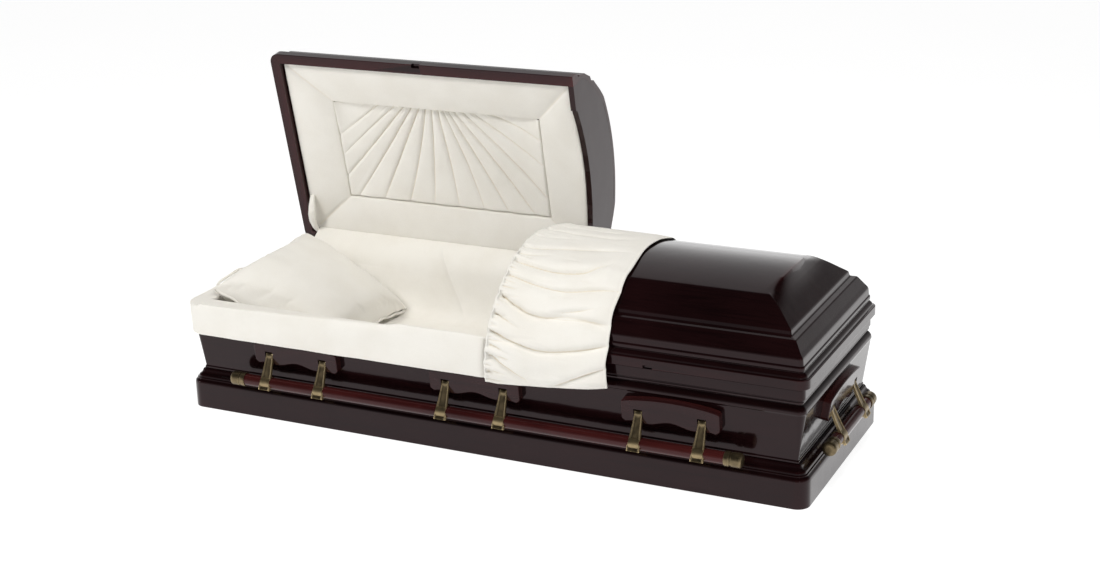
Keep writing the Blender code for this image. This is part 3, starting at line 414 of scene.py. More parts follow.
def lid_sweep(line, sign, cut, bulge, corner_steps=8, end_steps=32):
    """Carries an (inset, z) line from the cut along the front, round the end and back to the cut.
    bulge (one share per point of the line) bows the end outwards and raises it as 1 - t squared
    across the width. Returns points (line, path, 3)."""
    inset = line[:, 0][:, None]
    height = line[:, 1][:, None]
    radius = np.maximum(0.04 - inset, 0.004)
    radius = np.where(inset >= CREST_INSET - 0.0001, 0.0, radius)
    reach = HALF_LENGTH - inset - radius
    side = HALF_WIDTH - inset - radius
    run = np.concatenate([[0.0], SPACES, [1.0]])[None]
    along = sign * cut + run * (reach - sign * cut)
    turn = np.linspace(0, np.pi / 2, corner_steps + 1)[None, 1:]
    across = np.linspace(-1, 1, end_steps + 1)[None, 1:]
    lift = (1 - across ** 2) * np.asarray(bulge)[:, None]
    x = np.concatenate([along, reach + radius * np.sin(turn), reach + radius + CROWN_BOW * lift,
                        reach + radius * np.cos(turn), along[:, :-1][:, ::-1]], 1)
    y = np.concatenate([-(side + radius) + 0 * along, -side - radius * np.cos(turn), side * across,
                        side + radius * np.sin(turn), (side + radius) + 0 * along[:, 1:]], 1)
    flat = 0 * along[:, 1:]
    z = np.concatenate([height + 0 * along, height + 0 * turn, height + CROWN_RISE * lift,
                        height + 0 * turn, height + flat], 1)
    return np.stack([sign * x, y, z], -1)


def crown(z_edge, sign, cut, end_steps=32):
    """The barrel top between the crests: its height rises as 1 - t squared across the width, and
    its end bows out by the same share. Returns points (across, along, 3)."""
    across = np.linspace(-1, 1, end_steps + 1)[:, None]
    lift = 1 - across ** 2
    run = np.concatenate([[0.0], SPACES, [1.0]])[None]
    reach = HALF_LENGTH - CREST_INSET + CROWN_BOW * lift
    x = sign * cut + run * (reach - sign * cut)
    y = across * (HALF_WIDTH - CREST_INSET) + 0 * run
    z = z_edge + CROWN_RISE * lift + 0 * run
    return np.stack([sign * x, y, z], -1)


def carved(piece_mesh, tools):
    """Cuts tool meshes out of a mesh, for good."""
    holder = bpy.data.objects.new("work", piece_mesh)
    scene.collection.objects.link(holder)
    held = []
    for tool in tools:
        other = bpy.data.objects.new("tool", tool)
        scene.collection.objects.link(other)
        held.append(other)
        step = holder.modifiers.new("cut", "BOOLEAN")
        step.operation = "DIFFERENCE"
        step.solver = "EXACT"
        step.object = other
    made = bpy.data.meshes.new_from_object(holder.evaluated_get(bpy.context.evaluated_depsgraph_get()))
    for old in held + [holder]:
        bpy.data.objects.remove(old)
    return made


def block(low, high):
    """A plain box mesh, used to cut with."""
    bm = bmesh.new()
    bmesh.ops.create_cube(bm, size=1.0)
    size = Vector(high) - Vector(low)
    middle = (Vector(high) + Vector(low)) / 2
    bmesh.ops.transform(bm, verts=bm.verts, matrix=Matrix.Translation(middle) @ Matrix.Diagonal((*size, 1.0)))
    mesh = bpy.data.meshes.new("block")
    bm.to_mesh(mesh)
    bm.free()
    return mesh


LID_ROWS = [
    (0.041, 0.3655, 0.0005), (0.0070, 0.3655, 0.0022), (0.0070, 0.3955, 0.0026), (0.0148, 0.3962, 0.0010),
    (0.0172, 0.4040, 0.0060), (0.0268, 0.4120, 0.0012), (0.0240, 0.4165, 0.0030), (0.0240, 0.4265, 0.0035),
    (0.0280, 0.4300, 0.0010), (0.0300, 0.4520, 0.0050), (0.0395, 0.4640, 0.0030), (0.0600, 0.4940, 0.0040),
    (0.0785, 0.4995, 0.0045), (0.0822, 0.5150, 0.0045), (0.1050, 0.5330, 0.0500), (0.1330, 0.5560, 0.0500),
    (0.1680, 0.5800, 0.0300), (CREST_INSET, CREST_Z, 0.0),
]
LID_INNER = [(0.041, 0.3655), (0.041, 0.4068), (0.0450, 0.4456), (0.0708, 0.4776), (0.1148, 0.5176),
             (0.1594, 0.5533), (CREST_INSET, 0.5705)]


def lid_mesh(name, sign, cut):
    """Outer mouldings, crown, inner skin and the sawn face of one lid."""
    outer = section(LID_ROWS, 4, closed=False)
    inner = np.array(LID_INNER)
    swell = np.clip((outer[:, 0] - 0.120) / 0.067, 0, 1) ** 2
    skin = lid_sweep(outer, sign, cut, swell)
    lining = lid_sweep(inner, sign, cut, np.where(inner[:, 0] > 0.18, 1.0, 0.0))
    top = crown(CREST_Z, sign, cut)
    under = crown(CREST_Z - LID_THICK, sign, cut)
    sawn = np.vstack([skin[:, 0], top[:, 0], skin[::-1, -1], lining[:, -1], under[::-1, 0], lining[::-1, 0]])
    keep = np.linalg.norm(np.diff(sawn, axis=0, append=sawn[:1]), axis=1) > 0.00003
    grids = [(skin, False, False), (top, False, False), (lining, False, False), (under, False, False)]
    mesh = built(name, grids, [sawn[keep]], merge=0.00004)
    rim_inset = 0.007
    middle = (cut + sign * (HALF_LENGTH - rim_inset)) / 2
    front = -HALF_WIDTH + rim_inset
    notch = block((middle - 0.015, front - 0.012, LID_BOTTOM - 0.010),
                  (middle + 0.015, front + 0.012, LID_BOTTOM + 0.010))
    return carved(mesh, [notch])


def spots_of(mesh):
    """A mesh's vertices as an (n, 3) array."""
    spots = np.empty(len(mesh.vertices) * 3)
    mesh.vertices.foreach_get("co", spots)
    return spots.reshape(-1, 3)


def moved(mesh, change):
    """Applies a change of points to a mesh's vertices."""
    mesh.vertices.foreach_set("co", change(spots_of(mesh)).ravel())
    mesh.update()
    return mesh


placed("head_lid_shell", moved(lid_mesh("head_lid_shell", -1, 0.085), opened), WOOD,
       "head_lid_assembly", ["head_lid"], sharp=50)
placed("foot_lid_shell", lid_mesh("foot_lid_shell", 1, 0.089), WOOD,
       "foot_lid_assembly", ["foot_lid"], sharp=50)


# Lid end boards: a hardwood board closes each lid's sawn end, on two feet with a shallow arch
# between them. The boards are the frame's own, in the same stain with the grain across.
GRAIN_ACROSS = (28.0, 1.5, 28.0)
BOARD = lacquer("end_board_lacquer", *STAIN, (0.012, 0.004, 0.004), GRAIN_ACROSS)
refinished(["head_lid_end_board", "foot_lid_end_board"], BOARD)


# Hinges: a long leaf hinge of lacquered brass behind each lid. One leaf is screwed to the lid's rim
# and one to the case's top band. The leaves are the frame's own.
def metal(name, base, deep, bright, rough, metallic=1.0):
    """Lacquered metal: patchy tone, darker in hollows, and brighter at edges as rubbed wear and as painted
    highlight.
    """
    made, tree, shader, own = new_finish(name)
    patch = node(tree, "ShaderNodeTexNoise", [("Vector", own)], Scale=45.0, Detail=3.0, Roughness=0.5)
    tone = ramp(tree, patch.outputs[0], [(0.32, deep), (0.62, base)])
    shape = tree.nodes.new("ShaderNodeNewGeometry")
    hollow = ramp(tree, shape.outputs["Pointiness"], [(0.44, (1, 1, 1)), (0.50, (0, 0, 0))])
    dark = tinted(tree, tone, hollow, [0.5 * v for v in deep])
    # Painted highlight and wear: sharp edges are turned towards the bright colour.
    wear_and_highlight = ramp(tree, shape.outputs["Pointiness"], [(0.52, (0, 0, 0)), (0.60, (1, 1, 1))])
    worn_and_highlit = tinted(tree, dark, wear_and_highlight, bright)
    tree.links.new(worn_and_highlit, shader.inputs["Base Color"])
    spread = node(tree, "ShaderNodeMapRange", [("Value", patch.outputs[0])])
    spread.inputs["To Min"].default_value = rough - 0.07
    spread.inputs["To Max"].default_value = rough + 0.10
    tree.links.new(spread.outputs[0], shader.inputs["Roughness"])
    fine = node(tree, "ShaderNodeTexNoise", [("Vector", own)], Scale=600.0, Detail=2.0)
    dents = node(tree, "ShaderNodeBump", [("Height", fine.outputs[0])], Strength=0.12, Distance=0.0003)
    tree.links.new(dents.outputs[0], shader.inputs["Normal"])
    shader.inputs["Metallic"].default_value = metallic
    return made


BRASS = metal("hinge_brass", (0.50, 0.36, 0.17), (0.34, 0.23, 0.10), (0.66, 0.50, 0.28), 0.30)
refinished(["head_hinge_lid_leaf", "head_hinge_case_leaf", "foot_hinge_lid_leaf", "foot_hinge_case_leaf"],
           BRASS)


# Handle plates: bracket-shaped hardwood boards with an arched top, a waved lower edge and
# rounded arrises, screwed to the leaning walls and slotted for two arms each.
PIVOT_Z = 0.222
LEAN = math.atan2(0.021, 0.145)
PLATE_INSET = 0.0268345
SLOT_HALF = 0.014
SLOT_FOOT = -0.049
SLOT_TOP = 0.0175
PLATE_WOOD = lacquer("plate_lacquer", (0.0090, 0.0032, 0.0036), (0.0180, 0.0060, 0.0064),
                     (0.060, 0.012, 0.011))


def turned_about(points, turn):
    """Turns points about the vertical through the origin."""
    c, s = math.cos(math.radians(turn)), math.sin(math.radians(turn))
    return np.stack([points[..., 0] * c - points[..., 1] * s,
                     points[..., 0] * s + points[..., 1] * c, points[..., 2]], -1)


def plate_outline():
    """Closed (along, up) line: the top is a flattened cosine arch, the foot a cosine wave that dies
    towards the ends; all corners rounded."""
    share = np.linspace(-1, 1, 17)
    top = np.stack([-share * 0.151, 0.263 + 0.0155 * np.cos(share * np.pi / 2) ** 0.7], -1)
    wave = 0.015 * (0.5 + 0.5 * np.cos(2 * np.pi * share)) * (1 - np.abs(share) ** 3)
    foot = np.stack([share * 0.143, 0.193 + wave], -1)
    left = np.array([(-0.155, 0.257), (-0.155, 0.203)])
    return rounded(np.vstack([top, left, foot, left[::-1] * (-1, 1)]), 0.005, 4, True)


def drawn_in(outline, distance):
    """Moves a closed counter-clockwise (along, up) line inwards by a distance, square to itself."""
    way = np.roll(outline, -1, 0) - np.roll(outline, 1, 0)
    way /= np.linalg.norm(way, axis=1)[:, None]
    return outline + distance * np.stack([-way[:, 1], way[:, 0]], -1)


def plate_mesh(name, centre, spread, turn, face):
    """The outline carried through the board's thickness, its front edge a quarter circle of 3.5 mm,
    leaned with the wall, moved to its side of the case and slotted."""
    outline = plate_outline()
    angle = np.linspace(0, np.pi / 2, 6)
    depths = np.concatenate([[0.0003], 0.0213 + 0.0035 * np.sin(angle)])
    insets = np.concatenate([[0.0], 0.0035 * (1 - np.cos(angle))])
    loops = [drawn_in(outline, inset) for inset in insets]
    rows = np.stack([np.stack([loop[:, 0], np.full(len(loop), -depth), loop[:, 1] - PIVOT_Z], -1)
                     for loop, depth in zip(loops, depths)])
    mesh = built(name, [(rows, False, True)], [rows[0][::-1], rows[-1]])
    tools = [block((side * spread - SLOT_HALF, -0.05, SLOT_FOOT),
                   (side * spread + SLOT_HALF, -0.0025, SLOT_TOP)) for side in (-1, 1)]

    def to_wall(points):
        y = points[:, 1] * math.cos(LEAN) - points[:, 2] * math.sin(LEAN)
        z = points[:, 1] * math.sin(LEAN) + points[:, 2] * math.cos(LEAN)
        stood = np.stack([points[:, 0] + centre, y - (face - PLATE_INSET), z + PIVOT_Z], -1)
        return turned_about(stood, turn)

    return moved(carved(mesh, tools), to_wall)


SIDES = [("front", 0, HALF_WIDTH, (-0.645, 0.0, 0.645), 0.100, 0.880),
         ("foot_end", 90, HALF_LENGTH, (0.0,), 0.110, 0.220),
         ("back", 180, HALF_WIDTH, (-0.645, 0.0, 0.645), 0.100, 0.880),
         ("head_end", -90, HALF_LENGTH, (0.0,), 0.110, 0.220)]
for side, turn, face, centres, spread, tip in SIDES:
    for index, centre in enumerate(centres):
        name = f"{side}_handle_plate_{index + 1}"
        placed(f"{side}_wood_plate_{index + 1}", plate_mesh(name, centre, spread, turn, face), PLATE_WOOD,
               "case", [name], sharp=35)


# Handle arms: bronze castings with a dark patina, edges bright as rubbed wear and as painted highlight.
# Each hangs on a pin inside its slot and widens downwards, with a scooped top, a raised border round a
# sunk field and an eye round the bar.
BRONZE = metal("antique_bronze", (0.235, 0.180, 0.102), (0.125, 0.097, 0.056), (0.80, 0.62, 0.34), 0.30, 0.90)
BAR_OUT, BAR_DOWN, BAR_R = 0.0315345, 0.087, 0.0195
PIVOT_INSET = 0.0143345


def arm_face():
    """The arm's front: width grows downwards as a slow curve, a border stands round a hollow field,
    and the line leans out from the slot and runs on in front of the bar. Returns (rows, columns, 3)
    as (along, out, up) from the pivot."""
    down = np.linspace(0, 1, 29)
    line = rounded([(0.0085, 0.0075), (0.0150, -0.010), (0.0400, -0.0640), (0.0520, -0.0840),
                    (0.0560, -0.0950), (0.0590, -0.1030)], 0.02, 6)
    run = np.concatenate([[0], np.cumsum(np.linalg.norm(np.diff(line, axis=0), axis=1))])
    out = np.interp(down * run[-1], run, line[:, 0])
    up = np.interp(down * run[-1], run, line[:, 1])
    slope_out = np.gradient(out)
    slope_up = np.gradient(up)
    size = np.hypot(slope_out, slope_up)
    half = 0.0122 + 0.0083 * np.clip(down * 1.12, 0, 1) ** 1.25
    across = np.array([-1, -1, -0.99, -0.93, -0.84, -0.74, -0.66, -0.56, -0.30, 0.0,
                       0.30, 0.56, 0.66, 0.74, 0.84, 0.93, 0.99, 1, 1])
    back = np.array([-0.0085, -0.0030, -0.0010, 0.0, 0.0, -0.0006, -0.0028, -0.0034, -0.0031, -0.0029,
                     -0.0031, -0.0034, -0.0028, -0.0006, 0.0, 0.0, -0.0010, -0.0030, -0.0085])
    field = np.clip((down - 0.07) / 0.07, 0, 1) * np.clip((0.975 - down) / 0.03, 0, 1)
    sunk = np.where(np.abs(across) < 0.8, back, 0.0)[None] * field[:, None]
    edge = np.where(np.abs(across) < 0.8, 0.0, back)[None]
    scoop = 0.0045 * np.clip(1 - down / 0.10, 0, 1)[:, None] * (1 - across ** 2)[None]
    height = sunk + edge
    x = half[:, None] * across[None]
    o = out[:, None] + height * (-slope_up / size)[:, None]
    u = up[:, None] + height * (slope_out / size)[:, None] - scoop
    return np.stack([x, o, u], -1)


def lathe(profile, steps=32):
    """Turns an (along, radius) line about its own axis. Returns points (line, turn, 3) as (along,
    out, up)."""
    profile = np.asarray(profile, float)
    angle = np.linspace(0, 2 * np.pi, steps, endpoint=False)[None]
    return np.stack([profile[:, :1] + 0 * angle, profile[:, 1:] * np.cos(angle),
                     profile[:, 1:] * np.sin(angle)], -1)


def arm_grids():
    """Front and back skins of the arm, the eye round the bar and the knob on the pin."""
    front = arm_face()
    back = front.copy()
    back[..., 1:] = front[:, :1, 1:]
    shell = np.concatenate([front, back[:, ::-1][:, 1:-1]], 1)
    eye = lathe(rounded([(-0.0170, BAR_R + 0.0003), (-0.0170, BAR_R + 0.0022), (0.0170, BAR_R + 0.0022),
                         (0.0170, BAR_R + 0.0003)], 0.0008, 3, True), 40)
    eye = eye + np.array([0.0, BAR_OUT, -BAR_DOWN])
    knob = lathe(rounded([(-0.0125, 0.0), (-0.0125, 0.0082), (0.0125, 0.0082), (0.0125, 0.0)], 0.0018, 3), 24)
    return shell, eye, knob


def side_place(points, turn, face, centre=0.0, drop=0.0):
    """Takes (along, out, up) points measured from a side's pivot line to that side of the case."""
    points = np.asarray(points)
    stood = np.stack([points[..., 0] + centre, -(points[..., 1] + face - PIVOT_INSET),
                      points[..., 2] + PIVOT_Z], -1)
    return turned_about(stood, turn)


shell, eye, knob = arm_grids()
for side, turn, face, centres, spread, tip in SIDES:
    number = 0
    for centre in centres:
        for step in (-1, 1):
            number += 1
            spot = centre + step * spread
            grids = [(side_place(shell, turn, face, spot), False, True),
                     (side_place(eye, turn, face, spot), True, True),
                     (side_place(knob, turn, face, spot), False, True)]
            ends = [side_place(shell[0], turn, face, spot), side_place(shell[-1], turn, face, spot)]
            mesh = built(f"{side}_cast_arm_{number}", grids, ends)
            placed(f"{side}_cast_arm_{number}", mesh, BRONZE, f"{side}_handle", [f"{side}_arm_{number}"],
                   sharp=40)


# Carrying bars: straight round hardwood bars through the arms' eyes, redder than the case, with
# turned bronze caps driven over their ends.
BAR_STAIN = ((0.017, 0.0036, 0.0040), (0.036, 0.0068, 0.0066), (0.085, 0.016, 0.014))
BAR_WOOD = lacquer("bar_lacquer", *BAR_STAIN)
BAR_WOOD_END = lacquer("end_bar_lacquer", *BAR_STAIN, GRAIN_ACROSS)
for side, turn, face, centres, spread, tip in SIDES:
    half = tip - 0.0253
    bar = lathe(rounded([(-half, 0.0), (-half, BAR_R), (-0.3 * half, BAR_R), (0.3 * half, BAR_R),
                         (half, BAR_R), (half, 0.0)], 0.001, 2), 48)
    bar = side_place(bar + np.array([0.0, BAR_OUT, -BAR_DOWN]), turn, face)
    finish = BAR_WOOD if turn % 180 == 0 else BAR_WOOD_END
    placed(f"{side}_round_bar", built(f"{side}_round_bar", [(bar, False, True)]), finish,
           f"{side}_handle", [f"{side}_bar"])
    cap_line = rounded([(0.030, 0.0), (0.030, 0.0198), (0.0, 0.0198), (0.0, 0.0222), (0.0035, 0.0228),
                        (0.0150, 0.0228), (0.0172, 0.0200), (0.0205, 0.0200), (0.0225, 0.0228),
                        (0.0470, 0.0228), (0.0520, 0.0195), (0.0550, 0.0120), (0.0550, 0.0)],
                       [0.0005, 0.0005, 0.0005, 0.0008, 0.001, 0.002, 0.001, 0.001, 0.002, 0.004, 0.003,
                        0.004, 0.001], 4)
    for label, end in (("a", -1), ("b", 1)):
        cap = lathe(cap_line, 48)
        cap[..., 0] = end * (cap[..., 0] + tip - 0.055)
        cap = side_place(cap + np.array([0.0, BAR_OUT, -BAR_DOWN]), turn, face)
        name = f"{side}_bar_cap_{label}"
        placed(f"{side}_turned_cap_{label}", built(name, [(cap, False, True)]), BRONZE, f"{side}_handle",
               [name], sharp=50)


# Case lining: ivory crepe over thin wadding, stapled under the ledge and hanging to the bed, with
# a soft rolled top.
def crepe(name, colour, shade):
    """Matt pebbled cloth: a grainy crepe surface, soft patches of tone, painted shade of a warmer, darker
    colour in the hollows, and a dust of pale fibre at grazing angles."""
    made, tree, shader, own = new_finish(name)
    cloudy = node(tree, "ShaderNodeTexNoise", [("Vector", own)], Scale=9.0, Detail=4.0)
    tone = ramp(tree, cloudy.outputs[0], [(0.30, shade), (0.62, colour)])
    pebble = node(tree, "ShaderNodeTexNoise", [("Vector", own)], Scale=900.0, Detail=3.0, Roughness=0.7)
    grain = ramp(tree, pebble.outputs[0], [(0.30, (0.93, 0.93, 0.925)), (0.60, (1.0, 1.0, 1.0))])
    shape = tree.nodes.new("ShaderNodeNewGeometry")
    # Painted shade: the hollows of the folds turn a warmer, darker colour.
    hollow = ramp(tree, shape.outputs["Pointiness"], [(0.40, (1, 1, 1)), (0.485, (0, 0, 0))])
    fold_shaded = tinted(tree, multiplied(tree, tone, grain), hollow, (0.76, 0.655, 0.49))
    tree.links.new(fold_shaded, shader.inputs["Base Color"])
    weft = node(tree, "ShaderNodeTexNoise", [("Vector", own)], Scale=42.0, Detail=3.0, Roughness=0.55)
    slack = node(tree, "ShaderNodeBump", [("Height", weft.outputs[0])], Strength=0.35, Distance=0.0016)
    rough = node(tree, "ShaderNodeBump", [("Height", pebble.outputs[0]), ("Normal", slack.outputs[0])],
                 Strength=0.30, Distance=0.0004)
    tree.links.new(rough.outputs[0], shader.inputs["Normal"])
    shader.inputs["Roughness"].default_value = 0.86
    shader.inputs["Specular IOR Level"].default_value = 0.22
    shader.inputs["Sheen Weight"].default_value = 0.18
    shader.inputs["Sheen Roughness"].default_value = 0.5
    return made


CREPE = crepe("ivory_crepe", (0.890, 0.868, 0.815), (0.855, 0.828, 0.768))


def waves(share, cycles, seed):
    """Sum of five sines over a 0..1 share, with whole numbers of cycles so that the ends meet."""
    chance = np.random.default_rng(seed)
    total = 0 * share
    for count, height in zip(cycles, np.linspace(1, 0.5, len(cycles))):
        total = total + height * np.sin(2 * np.pi * (count * share + chance.random()))
    return total / len(cycles)


lining_line = section([
    (0.0603, 0.132, 0.002), (0.0530, 0.132, 0.002), (0.0530, 0.350, 0.01), (0.0540, 0.3600, 0.004),
    (0.0600, 0.3600, 0.005), (0.0640, 0.3500, 0.01), (0.0650, 0.250, 0.05),
], 5)
wall_cloth = ring(lining_line, 6)
placed("wall_lining", built("wall_lining", [(wall_cloth, True, True)]), CREPE, "case", ["case_lining"],
       even=False)


# Bed: a padded mattress in a cover of crepe, with rounded edges, raised under the pillow. It lies
# between the linings of the walls.
BED_HALF = (0.9985, 0.3018)
BED_TOP = 0.190
BED_UNDER = 0.0190
BED_EDGE = 0.030


def bed_rise(x):
    """How much higher the bed is at x than at its foot: a smooth step up to the head."""
    rise = np.clip((-0.56 - x) / 0.34, 0, 1)
    return 0.07 * rise * rise * (3 - 2 * rise)


def bed_skins():
    """Upper and lower skin, each (along, across, 3). The top is flat, then rises to the head as a
    smooth step; it falls off to its edges by a quarter circle and waves a little by sines."""
    x = np.linspace(-BED_HALF[0], BED_HALF[0], 90)
    rise = bed_rise(x)
    across = np.linspace(-1, 1, 40)
    edge_x = np.clip((BED_HALF[0] - np.abs(x)) / BED_EDGE, 0, 1)
    edge_y = np.clip((1 - np.abs(across)) * BED_HALF[1] / BED_EDGE, 0, 1)
    fall_x = np.sqrt(1 - (1 - edge_x) ** 2)[:, None]
    fall_y = np.sqrt(1 - (1 - edge_y) ** 2)[None]
    top = BED_TOP + rise[:, None] - BED_EDGE * (1 - np.minimum(fall_x, fall_y))
    soft = 0.0015 * np.sin(19 * x)[:, None] * np.sin(7 * across + 1)[None]
    y = BED_HALF[1] * across
    upper = np.stack([x[:, None] + 0 * top, y[None] + 0 * top, top + soft * fall_x * fall_y], -1)
    lower = upper.copy()
    lower[..., 2] = BED_UNDER
    return upper, lower


def closed_pad(first, second):
    """The grids of a closed pad: two skins and the four strips that join their rims."""
    strips = [np.stack([first[0], second[0]]), np.stack([first[-1], second[-1]]),
              np.stack([first[:, 0], second[:, 0]]), np.stack([first[:, -1], second[:, -1]])]
    return [(part, False, False) for part in [first, second] + strips]


bed = placed("bed_pad", built("bed_pad", closed_pad(*bed_skins())), CREPE, "case", ["mattress"],
             even=False, sharp=60)


# Pillow: a plump feather cushion in two panels of crepe with a piped seam all round, its foot edge
# on the bed and its head edge propped against the end wall. It is sewn inside out, turned and filled,
# so it is made slack here, blown up as cloth and then given its piping.
PILLOW_CENTRE = (-0.7820, -0.021, 0.3190)
PILLOW_TILT = 28.5
PILLOW_HALF = (0.245, 0.262)


def pillow_points(rows=72, columns=76):
    """Two skins over a square (u along the casket, v across): thickness is the crown
    (1-|u|^2.6)(1-|v|^2.6) to the 0.6, fuller towards the head edge; corners reach out, edges draw in."""
    u = np.linspace(-1, 1, rows)[:, None]
    v = np.linspace(-1, 1, columns)[None]
    full = np.clip((1 - np.abs(u) ** 2.6) * (1 - np.abs(v) ** 2.6), 0, 1) ** 0.60
    corner = (np.abs(u) * np.abs(v)) ** 3
    x = u * PILLOW_HALF[0] * (1 - 0.050 * (1 - v ** 2) * np.abs(u) ** 4 + 0.020 * corner)
    y = v * PILLOW_HALF[1] * (1 - 0.045 * (1 - u ** 2) * np.abs(v) ** 4 + 0.035 * corner)
    crease = 0.0030 * np.sin(21 * v + 4 * u) * np.clip(-u - 0.2, 0, 1)
    crease = crease + 0.0022 * np.sin(17 * u - 5 * v) * v ** 2
    top = (0.080 + 0.006 * np.cos(2.2 * u + 0.5)) * full + crease * full
    bottom = -(0.060 - 0.034 * u) * full
    return np.stack([x, y, top], -1), np.stack([x, y, bottom], -1)


def tilted(points, centre, degrees):
    """Turns points about +Y (a positive turn lifts the head side) and moves them to a centre."""
    c, s = math.cos(math.radians(degrees)), math.sin(math.radians(degrees))
    return np.stack([points[..., 0] * c + points[..., 2] * s + centre[0], points[..., 1] + centre[1],
                     -points[..., 0] * s + points[..., 2] * c + centre[2]], -1)


def settled(points):
    """Lets the cushion's front side sag by the 1.5th power of its nearness to the front, ruffles its head
    edge by a sine across it, and then props the cushion up in its place."""
    u = points[..., 0] / PILLOW_HALF[0]
    v = points[..., 1] / PILLOW_HALF[1]
    side = np.clip((-v - 0.35) / 0.65, 0, 1) ** 1.5
    sag = 0.054 * side * (1 - 0.58 * np.exp(-(u + 1.02) / 0.09)) * np.clip((0.95 - u) / 1.2, 0, 1)
    ruffle = 0.006 * np.clip((-u - 0.70) / 0.30, 0, 1) * np.sin(9.0 * v + 0.6)
    lowered = points.copy()
    lowered[..., 2] += ruffle - sag
    return tilted(lowered, PILLOW_CENTRE, PILLOW_TILT)


def blown_up(mesh, voxel, pressure, cap, frames=20):
    """Remeshes a closed skin evenly, lets it swell as cloth under inner pressure without gravity, and
    holds each point within a cap of its start, along its own move."""
    work = bpy.data.objects.new("swell", mesh)
    scene.collection.objects.link(work)
    even = work.modifiers.new("even", "REMESH")
    even.mode = "VOXEL"
    even.voxel_size = voxel
    depsgraph = bpy.context.evaluated_depsgraph_get()
    base = bpy.data.meshes.new_from_object(work.evaluated_get(depsgraph))
    work.modifiers.clear()
    work.data = base
    start = spots_of(base)
    cloth = work.modifiers.new("swell", "CLOTH")
    cloth.settings.quality = 6
    cloth.settings.mass = 0.2
    cloth.settings.tension_stiffness = 12.0
    cloth.settings.compression_stiffness = 12.0
    cloth.settings.shear_stiffness = 5.0
    cloth.settings.bending_stiffness = 0.15
    cloth.settings.use_pressure = True
    cloth.settings.uniform_pressure_force = pressure
    cloth.settings.effector_weights.gravity = 0.0
    cloth.collision_settings.use_collision = False
    cloth.point_cache.frame_start = 1
    cloth.point_cache.frame_end = frames
    for frame_number in range(1, frames + 1):
        scene.frame_set(frame_number)
    swollen = work.evaluated_get(bpy.context.evaluated_depsgraph_get()).to_mesh()
    move = spots_of(swollen) - start
    work.evaluated_get(bpy.context.evaluated_depsgraph_get()).to_mesh_clear()
    far = np.linalg.norm(move, axis=1)[:, None]
    start = start + move * np.minimum(1.0, cap / np.maximum(far, 1e-9))
    work.modifiers.clear()
    scene.frame_set(1)
    bpy.data.objects.remove(work)
    base.vertices.foreach_set("co", start.ravel())
    base.update()
    base.shade_smooth()
    return base


def piping(spots, radius=0.0042, steps=260):
    """A cord round a cushion that lies flat about the origin: its line is the cushion's farthest reach in
    each direction, evened out six times, with a slight wobble. Returns tube points (along, round, 3)."""
    angle = np.linspace(-np.pi, np.pi, steps, endpoint=False)
    own = np.arctan2(spots[:, 1] / PILLOW_HALF[1], spots[:, 0] / PILLOW_HALF[0])
    far = np.hypot(spots[:, 0], spots[:, 1])
    rim = np.zeros(steps)
    np.maximum.at(rim, np.clip(((own + np.pi) / (2 * np.pi) * steps).astype(int), 0, steps - 1), far)
    for smoothing in range(6):
        rim = (np.roll(rim, 1) + 2 * rim + np.roll(rim, -1)) / 4
    heading = np.arctan2(np.sin(angle) * PILLOW_HALF[1], np.cos(angle) * PILLOW_HALF[0])
    lift = 0.0035 * np.sin(15 * angle + 2 * np.sin(4 * angle)) + 0.002 * np.sin(31 * angle)
    line = np.stack([(rim + 0.0005) * np.cos(heading), (rim + 0.0005) * np.sin(heading), lift], -1)
    way = np.roll(line, -1, 0) - np.roll(line, 1, 0)
    way /= np.linalg.norm(way, axis=1)[:, None]
    outward = np.cross(way, (0.0, 0.0, 1.0))
    outward /= np.linalg.norm(outward, axis=1)[:, None]
    up = np.cross(outward, way)
    turn = np.linspace(0, 2 * np.pi, 10, endpoint=False)[None, :, None]
    return line[:, None] + radius * (np.cos(turn) * outward[:, None] + np.sin(turn) * up[:, None])


upper, lower = pillow_points()
slack_pillow = built("slack_pillow", [(upper, False, False), (lower, False, False)])
pillow_mesh = blown_up(slack_pillow, 0.0055, 5.0, 0.016)
cord_grid = piping(spots_of(pillow_mesh))
cord_mesh = built("pillow_cord", [(settled(cord_grid), True, True)])
pillow = placed("pillow_cushion", moved(pillow_mesh, settled), CREPE, "case",
                ["pillow"], even=False)
finer = pillow.modifiers.new("finer", "SUBSURF")
finer.levels = 1
finer.render_levels = 1
piped = placed("pillow_piping", cord_mesh, CREPE, "case", [], even=False)
for soft in (pillow, piped):
    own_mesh(soft)


# Head lid lining: four padded boards covered in crepe and mitred like a picture frame, sloping
# from the rim up to a sunk panel. They are pinned inside the head lid.
SURROUND_X = (-1.021, 0.0657)
SURROUND_Y = (-0.32375, 0.32375)
RECESS_X = (-0.872, -0.0845)
RECESS_Y = (-0.1695, 0.1965)


